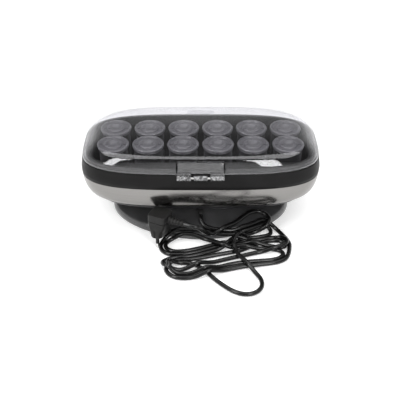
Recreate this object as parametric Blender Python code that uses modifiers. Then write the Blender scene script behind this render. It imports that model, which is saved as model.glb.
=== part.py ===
"""Heated roller set: twelve flocked rollers on a heated plate under a hinged clear lid.

Metres, +Z up. The origin is at the bottom centre of the foot. The lid hinge and the mains
cord are on the -Y side, the switch and the finger lip are on the +Y side.
"""
import math

import bmesh
import bpy
from mathutils import Matrix, Vector

# ---------------------------------------------------------------- driving sizes
GAP = 0.0003                      # left between two pieces that touch
OVAL_STEPS = 40                   # points round an oval ring

COLUMNS, ROWS = 6, 2
COLUMN_PITCH, ROW_PITCH = 0.0475, 0.0444
ROLLER_TOP, ROLLER_LENGTH = 0.119, 0.062
BARREL_R, BARREL_BORE_R = 0.0193, 0.0128
CAP_R, CAP_THICK = 0.0217, 0.0058
DISH_R, DISH_DEPTH = 0.0098, 0.0026

RIM_TOP, RIM_BOTTOM = 0.1057, 0.0828
RIM_TOP_A, RIM_TOP_B = 0.1620, 0.0812
RIM_LOW_A, RIM_LOW_B = 0.1640, 0.0822
CORNER = 3.6                      # superellipse power of the body outline
WELL_A, WELL_B, WELL_CORNER = 0.1475, 0.0520, 6.0
DECK_THICK = 0.0027
WALL = 0.0024

BAND_BOTTOM, BAND_WALL = 0.0500, 0.0012
BAND_LOW_A, BAND_LOW_B = 0.1500, 0.0730
COVER_BOTTOM, COVER_WALL = 0.0415, 0.0018
NECK_A, NECK_B, NECK_CORNER = 0.0740, 0.0430, 2.0

FOOT_A, FOOT_B, FOOT_CORNER = 0.1270, 0.0850, 1.8
FOOT_BASE = 0.0022
FOOT_PROFILE = [                  # half length, half width, height: skirt, dome, neck
    (FOOT_A, FOOT_B, FOOT_BASE), (FOOT_A - 0.002, FOOT_B - 0.0015, 0.0115), (0.1222, 0.0812, 0.0145),
    (0.1120, 0.0730, 0.0178), (0.0990, 0.0620, 0.0236), (0.0870, 0.0520, 0.0310), (0.0790, 0.0460, 0.0370),
    (NECK_A, NECK_B, COVER_BOTTOM - GAP),
]
PLATE_THICK, PLATE_INSET = 0.0025, 0.0040
PAD_X, PAD_Y = 0.0720, 0.0380
SCREW_X, SCREW_Y, SCREW_HEAD_R = 0.0950, 0.0120, 0.0036
PAD_R, PAD_HEIGHT = 0.0085, 0.0030

LID_A, LID_B = 0.1617, 0.0810
LID_BASE = RIM_TOP + GAP
LID_SHOULDER, LID_TOP = 0.1262, 0.1295
SHOULDER_A, SHOULDER_B = 0.1355, 0.0740
LID_WALL = 0.0020

HINGE_Y, HINGE_Z = -0.0858, 0.1035
KNUCKLE_R, HINGE_PIN_R, HINGE_BORE_R = 0.0034, 0.0012, 0.0016
HINGE_HALF = 0.0316
LEAF_THICK, LEAF_Y = 0.0018, -0.0786
CENTRE_KNUCKLE_HALF = 0.0090
OUTER_KNUCKLE = (0.0125, 0.0310)  # nearest and farthest |x| of an outer knuckle
LEAF_TOP = 0.1215
LIP_WIDTH, LIP_REACH, LIP_THICK = 0.0400, 0.0079, 0.0028

SWITCH_X, LAMP_X, CONTROL_Z = 0.0550, 0.0300, 0.0940
BEZEL_W, BEZEL_H, BEZEL_DEPTH = 0.0200, 0.0110, 0.0120
ROCKER_W, ROCKER_DEPTH, ROCKER_H = 0.0130, 0.0050, 0.0066
ROCKER_TILT = math.radians(8.0)
LAMP_R = 0.0030

POST_R, POST_TOP = 0.0110, 0.1040
TRAY_FLOOR, TRAY_HOLE_R = 0.0567, 0.0118
HEATER_TOP, HEATER_THICK = 0.0540, 0.0030
HEATER_X, HEATER_Y = 0.1260, 0.0380
ELEMENT_LENGTH, ELEMENT_WIDTH, ELEMENT_THICK = 0.2200, 0.0300, 0.0013
THERMOSTAT_X, THERMOSTAT_R = 0.0620, 0.0080
FUSE_X, FUSE_R, FUSE_HALF = -0.0620, 0.0021, 0.0110
TERMINAL_SIZE, TERMINAL_Z = (0.0300, 0.0140, 0.0100), 0.0115
LEAD_R = 0.0011

GLAND_PLACE = (0.0, -0.0515, 0.0345)
GLAND_TILT = (math.radians(120.0), 0.0, 0.0)
GLAND_R, GLAND_REACH, GLAND_NOSE_R = 0.0042, 0.0125, 0.0035
CORD_R = 0.0030
CORD_POINT_STEP = 0.0144          # between the points of a cord tube
HANK_LEFT, HANK_RIGHT = (-0.022, -0.1265, 0.0325), (0.0955, -0.1095, 0.0250)
HANK_HEIGHT = 0.0170
PLUG_X, PLUG_Y, PLUG_TURN = -0.0543, -0.0905, math.radians(-25.0)
PIN_LENGTH, PIN_R, PIN_SPACING = 0.0190, 0.0024, 0.0190
PLUG_FACE = PIN_LENGTH + GAP
NOSE_HALF_X, NOSE_HALF_Y, NOSE_HEIGHT = 0.0125, 0.0172, 0.0165
BACK_SIZE, BACK_LIFT = (0.0250, 0.0220, 0.0180), 0.0240
RELIEF_TIP_R, RELIEF_ROOT_R = 0.0036, 0.0052
RELIEF_Z, RELIEF_END = 0.0445, 0.0350

# The cord's route between the gland and the hank, and between the hank and the plug.
CORD_FROM_GLAND = [
    (0.0000, -0.0631, 0.0279), (0.0004, -0.0680, 0.0250), (0.0025, -0.0735, 0.0218),
    (0.0075, -0.0785, 0.0196), (0.0150, -0.0815, 0.0182), (0.0240, -0.0826, 0.0164),
    (0.0340, -0.0823, 0.0150), (0.0450, -0.0805, 0.0148), (0.0560, -0.0765, 0.0154),
    (0.0660, -0.0710, 0.0162), (0.0760, -0.0650, 0.0166), (0.0850, -0.0605, 0.0162),
    (0.0930, -0.0585, 0.0125), (0.1005, -0.0595, 0.0068), (0.1068, -0.0640, 0.0038),
    (0.1112, -0.0706, 0.0034), (0.1126, -0.0788, 0.0034), (0.1091, -0.0864, 0.0035),
]
CORD_TO_PLUG = [
    (0.0093, -0.1542, 0.0038), (0.0110, -0.1606, 0.0035), (0.0162, -0.1673, 0.0034),
    (0.0240, -0.1735, 0.0034), (0.0330, -0.1820, 0.0034), (0.0425, -0.1903, 0.0034),
    (0.0535, -0.1949, 0.0034), (0.0650, -0.1940, 0.0034), (0.0740, -0.1870, 0.0034),
    (0.0778, -0.1765, 0.0038), (0.0755, -0.1650, 0.0085), (0.0700, -0.1545, 0.0155),
    (0.0640, -0.1455, 0.0206), (0.0575, -0.1365, 0.0210), (0.0515, -0.1270, 0.0210),
    (0.0465, -0.1165, 0.0210), (0.0438, -0.1055, 0.0210), (0.0445, -0.0950, 0.0210),
    (0.0490, -0.0855, 0.0210), (0.0565, -0.0780, 0.0220), (0.0660, -0.0715, 0.0230),
    (0.0760, -0.0675, 0.0232), (0.0850, -0.0655, 0.0228), (0.0920, -0.0610, 0.0224),
    (0.0946, -0.0540, 0.0226), (0.0920, -0.0472, 0.0232), (0.0860, -0.0436, 0.0242),
    (0.0780, -0.0444, 0.0250), (0.0700, -0.0490, 0.0252), (0.0620, -0.0560, 0.0242),
    (0.0540, -0.0640, 0.0224), (0.0450, -0.0705, 0.0206), (0.0330, -0.0780, 0.0226),
    (0.0205, -0.0865, 0.0270), (0.0110, -0.0950, 0.0318), (0.0055, -0.1030, 0.0366),
    (-0.0005, -0.1088, 0.0408), (-0.0075, -0.1112, 0.0436), (-0.0148, -0.1089, 0.0445),
    (-0.0218, -0.1057, 0.0445),
]


# ---------------------------------------------------------------- helpers
def clear_scene():
    for item in list(bpy.data.objects):
        bpy.data.objects.remove(item, do_unlink=True)


def new_collection(name):
    made = bpy.data.collections.new(name)
    bpy.context.scene.collection.children.link(made)
    return made


def material(name, colour, roughness, metallic=0.0, alpha=1.0):
    made = bpy.data.materials.new(name)
    made.use_nodes = True
    shader = made.node_tree.nodes["Principled BSDF"]
    shader.inputs["Base Color"].default_value = (*colour, 1.0)
    shader.inputs["Roughness"].default_value = roughness
    shader.inputs["Metallic"].default_value = metallic
    shader.inputs["Alpha"].default_value = alpha
    made.diffuse_color = (*colour, alpha)
    return made


def add_object(name, data, skin, parent=None):
    made = bpy.data.objects.new(name, data)
    PARTS.objects.link(made)
    if skin is not None:
        data.materials.append(skin)
    if parent is not None:
        made.parent = parent
    return made


def add_pivot(name, location, rotation=(0.0, 0.0, 0.0)):
    made = bpy.data.objects.new(name, None)
    PARTS.objects.link(made)
    made.location = location
    made.rotation_euler = rotation
    return made


def shade_smooth(item, angle=40.0):
    for face in item.data.polygons:
        face.use_smooth = True
    item.data.set_sharp_from_angle(angle=math.radians(angle))


def signed_power(value, power):
    return math.copysign(abs(value) ** power, value)


def oval(a, b, power, z, steps=OVAL_STEPS):
    """A superellipse ring at height z."""
    points = []
    for step in range(steps):
        turn = 2.0 * math.pi * (step + 0.5) / steps
        x = a * signed_power(math.cos(turn), 2.0 / power)
        y = b * signed_power(math.sin(turn), 2.0 / power)
        points.append(Vector((x, y, z)))
    return points


def loft(name, rings, skin, closed_loop=False, parent=None):
    """A solid through oval rings: capped at both ends, or joined end to end as a hollow ring."""
    mesh = bmesh.new()
    rows = [[mesh.verts.new(point) for point in ring] for ring in rings]
    pairs = list(zip(rows, rows[1:]))
    if closed_loop:
        pairs.append((rows[-1], rows[0]))
    else:
        mesh.faces.new(rows[0])
        mesh.faces.new(list(reversed(rows[-1])))
    steps = len(rows[0])
    for low, high in pairs:
        for step in range(steps):
            after = (step + 1) % steps
            mesh.faces.new((low[step], high[step], high[after], low[after]))
    bmesh.ops.recalc_face_normals(mesh, faces=mesh.faces)
    data = bpy.data.meshes.new(name)
    mesh.to_mesh(data)
    mesh.free()
    made = add_object(name, data, skin, parent)
    shade_smooth(made)
    return made


def lathe(name, profile, segments, skin, parent=None):
    """A turned solid about Z from (radius, z) points that run from top to bottom on the outside."""
    data = bpy.data.meshes.new(name)
    points = [(radius, 0.0, z) for radius, z in profile]
    edges = [(index, index + 1) for index in range(len(points) - 1)]
    if profile[0][0] > 0.0 and profile[-1][0] > 0.0:
        edges.append((len(points) - 1, 0))
    data.from_pydata(points, edges, [])
    made = add_object(name, data, skin, parent)
    screw = made.modifiers.new("turn", "SCREW")
    screw.steps = segments
    screw.render_steps = segments
    screw.use_merge_vertices = True
    screw.merge_threshold = 0.00005
    screw.use_smooth_shade = True
    return made


def box(name, size, centre, skin, parent=None, bevel=0.0, rotation=(0.0, 0.0, 0.0)):
    bpy.ops.mesh.primitive_cube_add(size=1.0)
    made = bpy.context.object
    made.name = made.data.name = name
    for holder in list(made.users_collection):
        holder.objects.unlink(made)
    PARTS.objects.link(made)
    made.data.transform(Matrix.Diagonal((*size, 1.0)))
    made.location = centre
    made.rotation_euler = rotation
    made.parent = parent
    if skin is not None:
        made.data.materials.append(skin)
    if bevel > 0.0:
        edge = made.modifiers.new("edge", "BEVEL")
        edge.width = bevel
        edge.segments = 2
        edge.limit_method = "NONE"
    return made


def slab(name, outline, height, centre, skin, parent=None):
    """A flat outline with thickness: a filled 2D curve."""
    curve = bpy.data.curves.new(name, "CURVE")
    curve.dimensions = "2D"
    curve.fill_mode = "BOTH"
    curve.extrude = height / 2.0
    spline = curve.splines.new("POLY")
    spline.points.add(len(outline) - 1)
    for point, (x, y) in zip(spline.points, outline):
        point.co = (x, y, 0.0, 1.0)
    spline.use_cyclic_u = True
    made = add_object(name, curve, skin, parent)
    made.location = centre
    return made


def tube(name, points, radius, skin, parent=None):
    curve = bpy.data.curves.new(name, "CURVE")
    curve.dimensions = "3D"
    curve.bevel_depth = radius
    curve.bevel_resolution = 2
    curve.use_fill_caps = True
    spline = curve.splines.new("POLY")
    spline.points.add(len(points) - 1)
    for point, place in zip(spline.points, points):
        point.co = (*place, 1.0)
    return add_object(name, curve, skin, parent)


def smooth_route(points, spacing):
    """Points at an even spacing along a Catmull-Rom curve through the route's own points."""
    knots = [Vector(point) for point in points]
    knots = [2 * knots[0] - knots[1]] + knots + [2 * knots[-1] - knots[-2]]
    fine = []
    for before, start, end, after in zip(knots, knots[1:], knots[2:], knots[3:]):
        for step in range(24):
            t = step / 24.0
            fine.append(0.5 * (2 * start + (end - before) * t
                               + (2 * before - 5 * start + 4 * end - after) * t * t
                               + (3 * start - before - 3 * end + after) * t ** 3))
    fine.append(knots[-2])
    lengths = [0.0]
    for low, high in zip(fine, fine[1:]):
        lengths.append(lengths[-1] + (high - low).length)
    count = max(2, round(lengths[-1] / spacing))
    picked, index = [], 0
    for step in range(count + 1):
        goal = lengths[-1] * step / count
        while index < len(fine) - 2 and lengths[index + 1] < goal:
            index += 1
        share = (goal - lengths[index]) / max(lengths[index + 1] - lengths[index], 1e-9)
        picked.append(fine[index].lerp(fine[index + 1], min(max(share, 0.0), 1.0)))
    return picked


def to_mesh(item):
    """Turn a curve or a modifier stack into plain mesh data that a Boolean can use."""
    bpy.context.view_layer.update()
    graph = bpy.context.evaluated_depsgraph_get()
    data = bpy.data.meshes.new_from_object(item.evaluated_get(graph))
    mesh = bmesh.new()
    mesh.from_mesh(data)
    bmesh.ops.remove_doubles(mesh, verts=mesh.verts, dist=0.00001)
    bmesh.ops.recalc_face_normals(mesh, faces=mesh.faces)
    mesh.to_mesh(data)
    mesh.free()
    return data


def combine(target, tools, operation):
    """Apply a Boolean from each tool to the target. The tools stay as hidden cutters."""
    for tool in tools:
        tool.display_type = "WIRE"
        tool.hide_render = True
        for holder in list(tool.users_collection):
            holder.objects.unlink(tool)
        CUTTERS.objects.link(tool)
        step = target.modifiers.new(operation.lower(), "BOOLEAN")
        step.operation = operation
        step.solver = "EXACT"
        step.object = tool


def cutter_cylinder(name, radius, low, high, place, axis="Z", segments=16):
    made = lathe(name, [(0.0, high), (radius, high), (radius, low), (0.0, low)], segments, None)
    made.location = place
    if axis == "Y":
        made.rotation_euler = (-math.pi / 2.0, 0.0, 0.0)
    if axis == "X":
        made.rotation_euler = (0.0, math.pi / 2.0, 0.0)
    solid = to_mesh(made)
    made.modifiers.clear()
    made.data = solid
    return made


def as_mesh_object(item):
    """Swap an object's curve or modifiers for the mesh that they make."""
    solid = to_mesh(item)
    if item.type == "MESH":
        item.modifiers.clear()
        item.data = solid
        return item
    swapped = bpy.data.objects.new(item.name + "_mesh", solid)
    PARTS.objects.link(swapped)
    swapped.parent = item.parent
    swapped.matrix_world = item.matrix_world
    name = item.name
    bpy.data.objects.remove(item, do_unlink=True)
    swapped.name = name
    return swapped


# ---------------------------------------------------------------- casing
def make_rim_frame():
    rings = [
        oval(RIM_LOW_A, RIM_LOW_B, CORNER, RIM_BOTTOM),
        oval(RIM_LOW_A + 0.0004, RIM_LOW_B + 0.0004, CORNER, RIM_BOTTOM + 0.006),
        oval(RIM_TOP_A + 0.0002, RIM_TOP_B + 0.0002, CORNER, RIM_TOP - 0.0012),
        oval(RIM_TOP_A - 0.0010, RIM_TOP_B - 0.0010, CORNER, RIM_TOP),
        oval(WELL_A, WELL_B, WELL_CORNER, RIM_TOP),
        oval(WELL_A, WELL_B, WELL_CORNER, RIM_TOP - DECK_THICK),
        oval(RIM_TOP_A - WALL, RIM_TOP_B - WALL, CORNER, RIM_TOP - DECK_THICK),
        oval(RIM_LOW_A - WALL, RIM_LOW_B - WALL, CORNER, RIM_BOTTOM),
    ]
    frame = loft("rim_frame", rings, BLACK, closed_loop=True)
    window = box("switch_window", (BEZEL_W + 2 * GAP, 0.020, BEZEL_H + 2 * GAP),
                 (SWITCH_X, RIM_LOW_B - 0.001, CONTROL_Z), None)
    lamp_place = (LAMP_X, RIM_LOW_B - 0.001, CONTROL_Z)
    hole = cutter_cylinder("lamp_hole", LAMP_R + GAP, -0.010, 0.010, lamp_place, "Y")
    combine(frame, [window, hole], "DIFFERENCE")


def band_ring(share, inset):
    """The steel band's outline: a quarter turn from the rim down and in to its lower edge."""
    turn = share * math.pi / 2.0
    drop = math.sin(turn)
    reach = 1.0 - math.cos(turn)
    a = RIM_LOW_A - (RIM_LOW_A - BAND_LOW_A) * reach - inset
    b = RIM_LOW_B - (RIM_LOW_B - BAND_LOW_B) * reach - inset
    top = RIM_BOTTOM - GAP
    return oval(a, b, CORNER - 0.4 * share, top - (top - BAND_BOTTOM) * drop)


def make_steel_band():
    shares = [0.0, 0.3, 0.55, 0.78, 1.0]
    rings = [band_ring(share, 0.0) for share in shares]
    rings += [band_ring(share, BAND_WALL) for share in reversed(shares)]
    loft("steel_band", rings, STEEL, closed_loop=True)


def make_bottom_cover():
    edge_a, edge_b = BAND_LOW_A - 0.0004, BAND_LOW_B - 0.0004
    power = CORNER - 0.4
    under = BAND_BOTTOM - GAP
    rings = [
        oval(edge_a, edge_b, power, under),
        oval(edge_a - 0.0014, edge_b - 0.0014, power, under - 0.0040),
        oval(edge_a - 0.006, edge_b - 0.005, power, COVER_BOTTOM + 0.0010),
        oval(edge_a - 0.016, edge_b - 0.010, power, COVER_BOTTOM),
        oval(NECK_A - 0.012, NECK_B - 0.009, NECK_CORNER, COVER_BOTTOM),
        oval(NECK_A - 0.012, NECK_B - 0.009, NECK_CORNER, COVER_BOTTOM + COVER_WALL),
        oval(edge_a - 0.017, edge_b - 0.011, power, COVER_BOTTOM + COVER_WALL),
        oval(edge_a - 0.0034, edge_b - 0.0034, power, under - 0.0030),
        oval(edge_a - 0.0020, edge_b - 0.0020, power, under),
    ]
    loft("bottom_cover", rings, DARK, closed_loop=True)


def make_foot_shell():
    powers = [FOOT_CORNER + 0.2 * index / (len(FOOT_PROFILE) - 1) for index in range(len(FOOT_PROFILE))]
    rings = [oval(a, b, power, z) for (a, b, z), power in zip(FOOT_PROFILE, powers)]
    inner = list(zip(FOOT_PROFILE, powers))[::-1]
    for (a, b, z), power in inner[:-2]:
        rings.append(oval(a - WALL, b - WALL, power, z - (0.0 if z > 0.040 else WALL)))
    rings.append(oval(FOOT_A - WALL - 0.002, FOOT_B - WALL - 0.002, FOOT_CORNER, FOOT_BASE))
    foot = loft("foot_shell", rings, GLOSS, closed_loop=True)
    hole = cutter_cylinder("gland_hole", GLAND_R + GAP, -0.006, 0.020, GLAND_PLACE)
    hole.rotation_euler = GLAND_TILT
    combine(foot, [hole], "DIFFERENCE")


def make_foot_underside():
    plate_a = FOOT_A - WALL - PLATE_INSET
    plate_b = FOOT_B - WALL - PLATE_INSET
    plate = loft("foot_base_plate", [
        oval(plate_a, plate_b, FOOT_CORNER, PAD_HEIGHT + GAP),
        oval(plate_a, plate_b, FOOT_CORNER, PAD_HEIGHT + GAP + PLATE_THICK),
    ], BLACK)
    shade_smooth(plate, 20.0)
    pad = None
    screw = None
    for number, (side_x, side_y) in enumerate([(1, 1), (-1, 1), (-1, -1), (1, -1)], start=1):
        place = (side_x * PAD_X, side_y * PAD_Y, 0.0)
        if pad is None:
            pad = lathe("rubber_foot_1", [(0.0, PAD_HEIGHT), (PAD_R, PAD_HEIGHT), (PAD_R, 0.0006),
                                          (PAD_R - 0.0006, 0.0), (0.0, 0.0)], 16, RUBBER)
            pad.location = place
        else:
            share_object(pad, "rubber_foot_%d" % number, place)
        place = (side_x * SCREW_X, side_y * SCREW_Y, 0.0)
        if screw is None:
            screw = lathe("base_screw_1", [(0.0, PAD_HEIGHT), (SCREW_HEAD_R, PAD_HEIGHT),
                                           (SCREW_HEAD_R, PAD_HEIGHT - 0.001),
                                           (SCREW_HEAD_R - 0.0012, PAD_HEIGHT - 0.002),
                                           (0.0, PAD_HEIGHT - 0.002)], 12, BRIGHT)
            screw.location = place
        else:
            share_object(screw, "base_screw_%d" % number, place)


def share_object(source, name, place, parent=None):
    """A second object on the same mesh and modifiers as the source."""
    made = source.copy()
    made.name = name
    PARTS.objects.link(made)
    made.location = place
    made.parent = parent
    return made


# ---------------------------------------------------------------- well, heater and wiring
def roller_places():
    for row in range(ROWS):
        for column in range(COLUMNS):
            x = (column - (COLUMNS - 1) / 2.0) * COLUMN_PITCH
            y = (row - (ROWS - 1) / 2.0) * ROW_PITCH
            yield x, y


def make_roller_tray():
    lip = RIM_TOP - DECK_THICK - GAP
    wall_a, wall_b = WELL_A + WALL, WELL_B + WALL
    rings = [
        oval(wall_a - 0.003, wall_b - 0.003, WELL_CORNER, TRAY_FLOOR - WALL),
        oval(wall_a, wall_b, WELL_CORNER, TRAY_FLOOR + 0.003),
        oval(wall_a, wall_b, WELL_CORNER, lip - WALL),
        oval(wall_a + 0.004, wall_b + 0.004, WELL_CORNER, lip - WALL),
        oval(wall_a + 0.004, wall_b + 0.004, WELL_CORNER, lip),
        oval(WELL_A, WELL_B, WELL_CORNER, lip),
        oval(WELL_A, WELL_B, WELL_CORNER, TRAY_FLOOR + 0.004),
        oval(WELL_A - 0.003, WELL_B - 0.003, WELL_CORNER, TRAY_FLOOR),
    ]
    tray = loft("roller_tray", rings, BLACK)
    holes = []
    for number, (x, y) in enumerate(roller_places(), start=1):
        holes.append(cutter_cylinder("post_hole_%d" % number, TRAY_HOLE_R, -0.006, 0.006, (x, y, TRAY_FLOOR),
                                     segments=12))
    combine(tray, holes, "DIFFERENCE")


def make_heater():
    plate = box("heater_plate", (2 * HEATER_X, 2 * HEATER_Y, HEATER_THICK),
                (0.0, 0.0, HEATER_TOP - HEATER_THICK / 2.0), ALUMINIUM)
    posts = []
    base = HEATER_TOP - 0.001
    for number, (x, y) in enumerate(roller_places(), start=1):
        post = lathe("heating_post_%d" % number,
                     [(0.0, POST_TOP), (POST_R - 0.003, POST_TOP), (POST_R, POST_TOP - 0.004),
                      (POST_R, base), (0.0, base)], 12, None)
        post.location = (x, y, 0.0)
        posts.append(as_mesh_object(post))
    combine(plate, posts, "UNION")


def make_electrics():
    under = HEATER_TOP - HEATER_THICK - GAP
    element_place = (0.0, 0.0, under - ELEMENT_THICK / 2.0)
    box("heating_element", (ELEMENT_LENGTH, ELEMENT_WIDTH, ELEMENT_THICK), element_place, MICA)
    below = under - ELEMENT_THICK - GAP
    thermostat = lathe("thermostat", [(0.0, 0.0), (THERMOSTAT_R, 0.0), (THERMOSTAT_R, -0.0035),
                                      (THERMOSTAT_R - 0.0025, -0.0050), (0.0, -0.0050)], 16, BRIGHT)
    thermostat.location = (THERMOSTAT_X, 0.0, below)
    fuse = lathe("thermal_fuse", [(0.0, FUSE_HALF), (FUSE_R, FUSE_HALF - 0.001), (FUSE_R, 0.001 - FUSE_HALF),
                                  (0.0, -FUSE_HALF)], 10, BRASS)
    fuse.rotation_euler = (0.0, math.pi / 2.0, 0.0)
    fuse.location = (FUSE_X, 0.0, below - 0.0022)
    box("terminal_block", TERMINAL_SIZE, (0.0, 0.0, TERMINAL_Z), IVORY, bevel=0.0008)
    for name, side in (("live_lead", 1.0), ("neutral_lead", -1.0)):
        route = [(side * 0.008, 0.0, 0.0182), (side * 0.008, 0.003, 0.024), (side * 0.012, 0.005, 0.031),
                 (side * 0.022, 0.004, 0.0385), (side * 0.034, 0.001, 0.044),
                 (side * 0.044, 0.0, below - 0.0018)]
        tube(name, smooth_route(route, 0.004), LEAD_R, LEAD)


# ---------------------------------------------------------------- rollers
def make_rollers():
    barrel_top = ROLLER_TOP - CAP_THICK - GAP
    base = ROLLER_TOP - ROLLER_LENGTH
    barrel = cap = None
    for number, (x, y) in enumerate(roller_places(), start=1):
        barrel_name, cap_name = "roller_barrel_%02d" % number, "roller_cap_%02d" % number
        if barrel is None:
            barrel = lathe(barrel_name, [(BARREL_BORE_R, barrel_top), (BARREL_R, barrel_top),
                                         (BARREL_R, base), (BARREL_BORE_R, base)], 16, VELVET)
            barrel.location = (x, y, 0.0)
            under = ROLLER_TOP - CAP_THICK
            cap = lathe(cap_name, [
                (0.0, ROLLER_TOP - DISH_DEPTH), (DISH_R, ROLLER_TOP - DISH_DEPTH + 0.0006),
                (DISH_R + 0.0014, ROLLER_TOP),
                (CAP_R - 0.0012, ROLLER_TOP - 0.0004), (CAP_R, ROLLER_TOP - 0.0016), (CAP_R, under + 0.0006),
                (CAP_R - 0.0008, under), (0.0, under)], 20, GREY)
            cap.location = (x, y, 0.0)
        else:
            share_object(barrel, barrel_name, (x, y, 0.0))
            share_object(cap, cap_name, (x, y, 0.0))


# ---------------------------------------------------------------- lid and hinge
def make_lid():
    outside = [
        (LID_A, LID_B, LID_BASE), (LID_A - 0.0004, LID_B - 0.0003, LID_BASE + 0.004),
        (LID_A - 0.006, LID_B - 0.0022, LID_BASE + 0.0115),
        (SHOULDER_A + 0.0115, SHOULDER_B + 0.0024, LID_SHOULDER - 0.0034),
        (SHOULDER_A, SHOULDER_B, LID_SHOULDER),
        (SHOULDER_A - 0.010, SHOULDER_B - 0.006, LID_SHOULDER + 0.0013),
        (0.080, 0.040, LID_TOP - 0.0006), (0.030, 0.014, LID_TOP),
    ]
    rings = [oval(a, b, CORNER, z) for a, b, z in reversed(outside)]
    rings.append(oval(LID_A - LID_WALL, LID_B - LID_WALL, CORNER, LID_BASE))
    rings += [oval(a - LID_WALL, b - LID_WALL, CORNER, z - LID_WALL * 0.8) for a, b, z in outside[1:]]
    lid = loft("lid", rings, CLEAR, parent=LID_PIVOT)
    lid.matrix_parent_inverse = LID_PIVOT.matrix_world.inverted()
    notch = box("hinge_notch", (2 * (HINGE_HALF + GAP), 0.020, LEAF_TOP + GAP - LID_BASE + 0.010),
                (0.0, -0.0790, (LEAF_TOP + GAP + LID_BASE - 0.010) / 2.0), None)
    combine(lid, [notch], "DIFFERENCE")


def knuckle(name, centre_x, half, skin):
    made = lathe(name, [(HINGE_BORE_R, half), (KNUCKLE_R, half),
                        (KNUCKLE_R, -half), (HINGE_BORE_R, -half)], 14, skin)
    made.rotation_euler = (0.0, math.pi / 2.0, 0.0)
    made.location = (centre_x, HINGE_Y, HINGE_Z)
    return as_mesh_object(made)


def make_hinge():
    near, far = OUTER_KNUCKLE
    lean = math.atan2(SHOULDER_B - LID_B, LID_SHOULDER - LID_BASE)
    leaf = box("hinge_leaf", (2 * HINGE_HALF, LEAF_THICK, LEAF_TOP - LID_BASE - 0.0012),
               (0.0, LEAF_Y, (LEAF_TOP + LID_BASE + 0.0012) / 2.0), CLEAR, rotation=(lean, 0.0, 0.0))
    pieces = []
    for side in (-1.0, 1.0):
        middle = side * (near + far) / 2.0
        which = "left" if side < 0 else "right"
        pieces.append(knuckle("leaf_knuckle_" + which, middle, (far - near) / 2.0, None))
        pieces.append(box("leaf_foot_" + which, (far - near, 0.0068, 0.0032),
                          (middle, HINGE_Y + 0.0040, HINGE_Z + 0.0046), None))
    combine(leaf, pieces, "UNION")
    axis_place = (0.0, HINGE_Y, HINGE_Z)
    bore = cutter_cylinder("leaf_bore", HINGE_BORE_R, -0.040, 0.040, axis_place, "X", segments=14)
    combine(leaf, [bore], "DIFFERENCE")
    leaf.parent = LID_PIVOT
    leaf.matrix_parent_inverse = LID_PIVOT.matrix_world.inverted()

    bracket = knuckle("hinge_bracket", 0.0, CENTRE_KNUCKLE_HALF, BLACK)
    bracket.data.materials.clear()
    bracket.data.materials.append(BLACK)
    foot = box("bracket_foot", (2 * CENTRE_KNUCKLE_HALF, 0.0030, 0.0075),
               (0.0, HINGE_Y + 0.0019, HINGE_Z - 0.0042), None)
    axis_place = (0.0, HINGE_Y, HINGE_Z)
    bore = cutter_cylinder("bracket_bore", HINGE_BORE_R, -0.040, 0.040, axis_place, "X", segments=14)
    combine(bracket, [foot], "UNION")
    combine(bracket, [bore], "DIFFERENCE")

    pin = lathe("hinge_pin", [(0.0, far), (HINGE_PIN_R, far), (HINGE_PIN_R, -far), (0.0, -far)], 10, BRIGHT)
    pin.rotation_euler = (0.0, math.pi / 2.0, 0.0)
    pin.location = (0.0, HINGE_Y, HINGE_Z)


def make_finger_lip():
    lip = box("lid_finger_lip", (LIP_WIDTH, LIP_REACH, LIP_THICK),
              (0.0, LID_B + GAP + LIP_REACH / 2.0, LID_BASE + 0.0022), CLEAR, bevel=0.0008)
    lip.parent = LID_PIVOT
    lip.matrix_parent_inverse = LID_PIVOT.matrix_world.inverted()


# ---------------------------------------------------------------- controls
def make_controls():
    face = RIM_LOW_B + 0.0006
    bezel = box("switch_bezel", (BEZEL_W, BEZEL_DEPTH, BEZEL_H),
                (SWITCH_X, face - BEZEL_DEPTH / 2.0 + 0.0014, CONTROL_Z), BLACK, bevel=0.0005)
    pocket = box("rocker_pocket", (ROCKER_W + 0.0010, 0.0160, ROCKER_H + 0.0016),
                 (SWITCH_X, face + 0.0014, CONTROL_Z), None)
    combine(bezel, [pocket], "DIFFERENCE")
    box("switch_rocker", (ROCKER_W, ROCKER_DEPTH, ROCKER_H), (0.0, -0.0008, 0.0), DARK, parent=ROCKER_PIVOT,
        bevel=0.0004)
    lens = lathe("pilot_lens", [(0.0, 0.0016), (0.0016, 0.0013), (LAMP_R, 0.0002),
                                (LAMP_R, -0.006), (0.0, -0.006)], 14, AMBER)
    lens.rotation_euler = (-math.pi / 2.0, 0.0, 0.0)
    lens.location = (LAMP_X, face, CONTROL_Z)


# ---------------------------------------------------------------- mains cord
def make_gland():
    gland = lathe("cord_gland", [(0.0, GLAND_REACH), (GLAND_NOSE_R, GLAND_REACH), (GLAND_R, 0.0020),
                                 (GLAND_R, -0.0040), (0.0, -0.0040)], 14, RUBBER)
    gland.location = GLAND_PLACE
    gland.rotation_euler = GLAND_TILT


def hank_outline():
    """Two arcs and the straight sides between them, anticlockwise."""
    (left_x, left_y, left_r), (right_x, right_y, right_r) = HANK_LEFT, HANK_RIGHT
    heading = math.atan2(right_y - left_y, right_x - left_x)
    spread = math.acos((left_r - right_r) / math.hypot(right_x - left_x, right_y - left_y))
    outline = []
    for centre_x, centre_y, radius, start, end in (
            (right_x, right_y, right_r, heading - spread, heading + spread),
            (left_x, left_y, left_r, heading + spread, heading + 2.0 * math.pi - spread)):
        for step in range(13):
            turn = start + (end - start) * step / 12.0
            outline.append((centre_x + radius * math.cos(turn), centre_y + radius * math.sin(turn)))
    return outline


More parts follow.
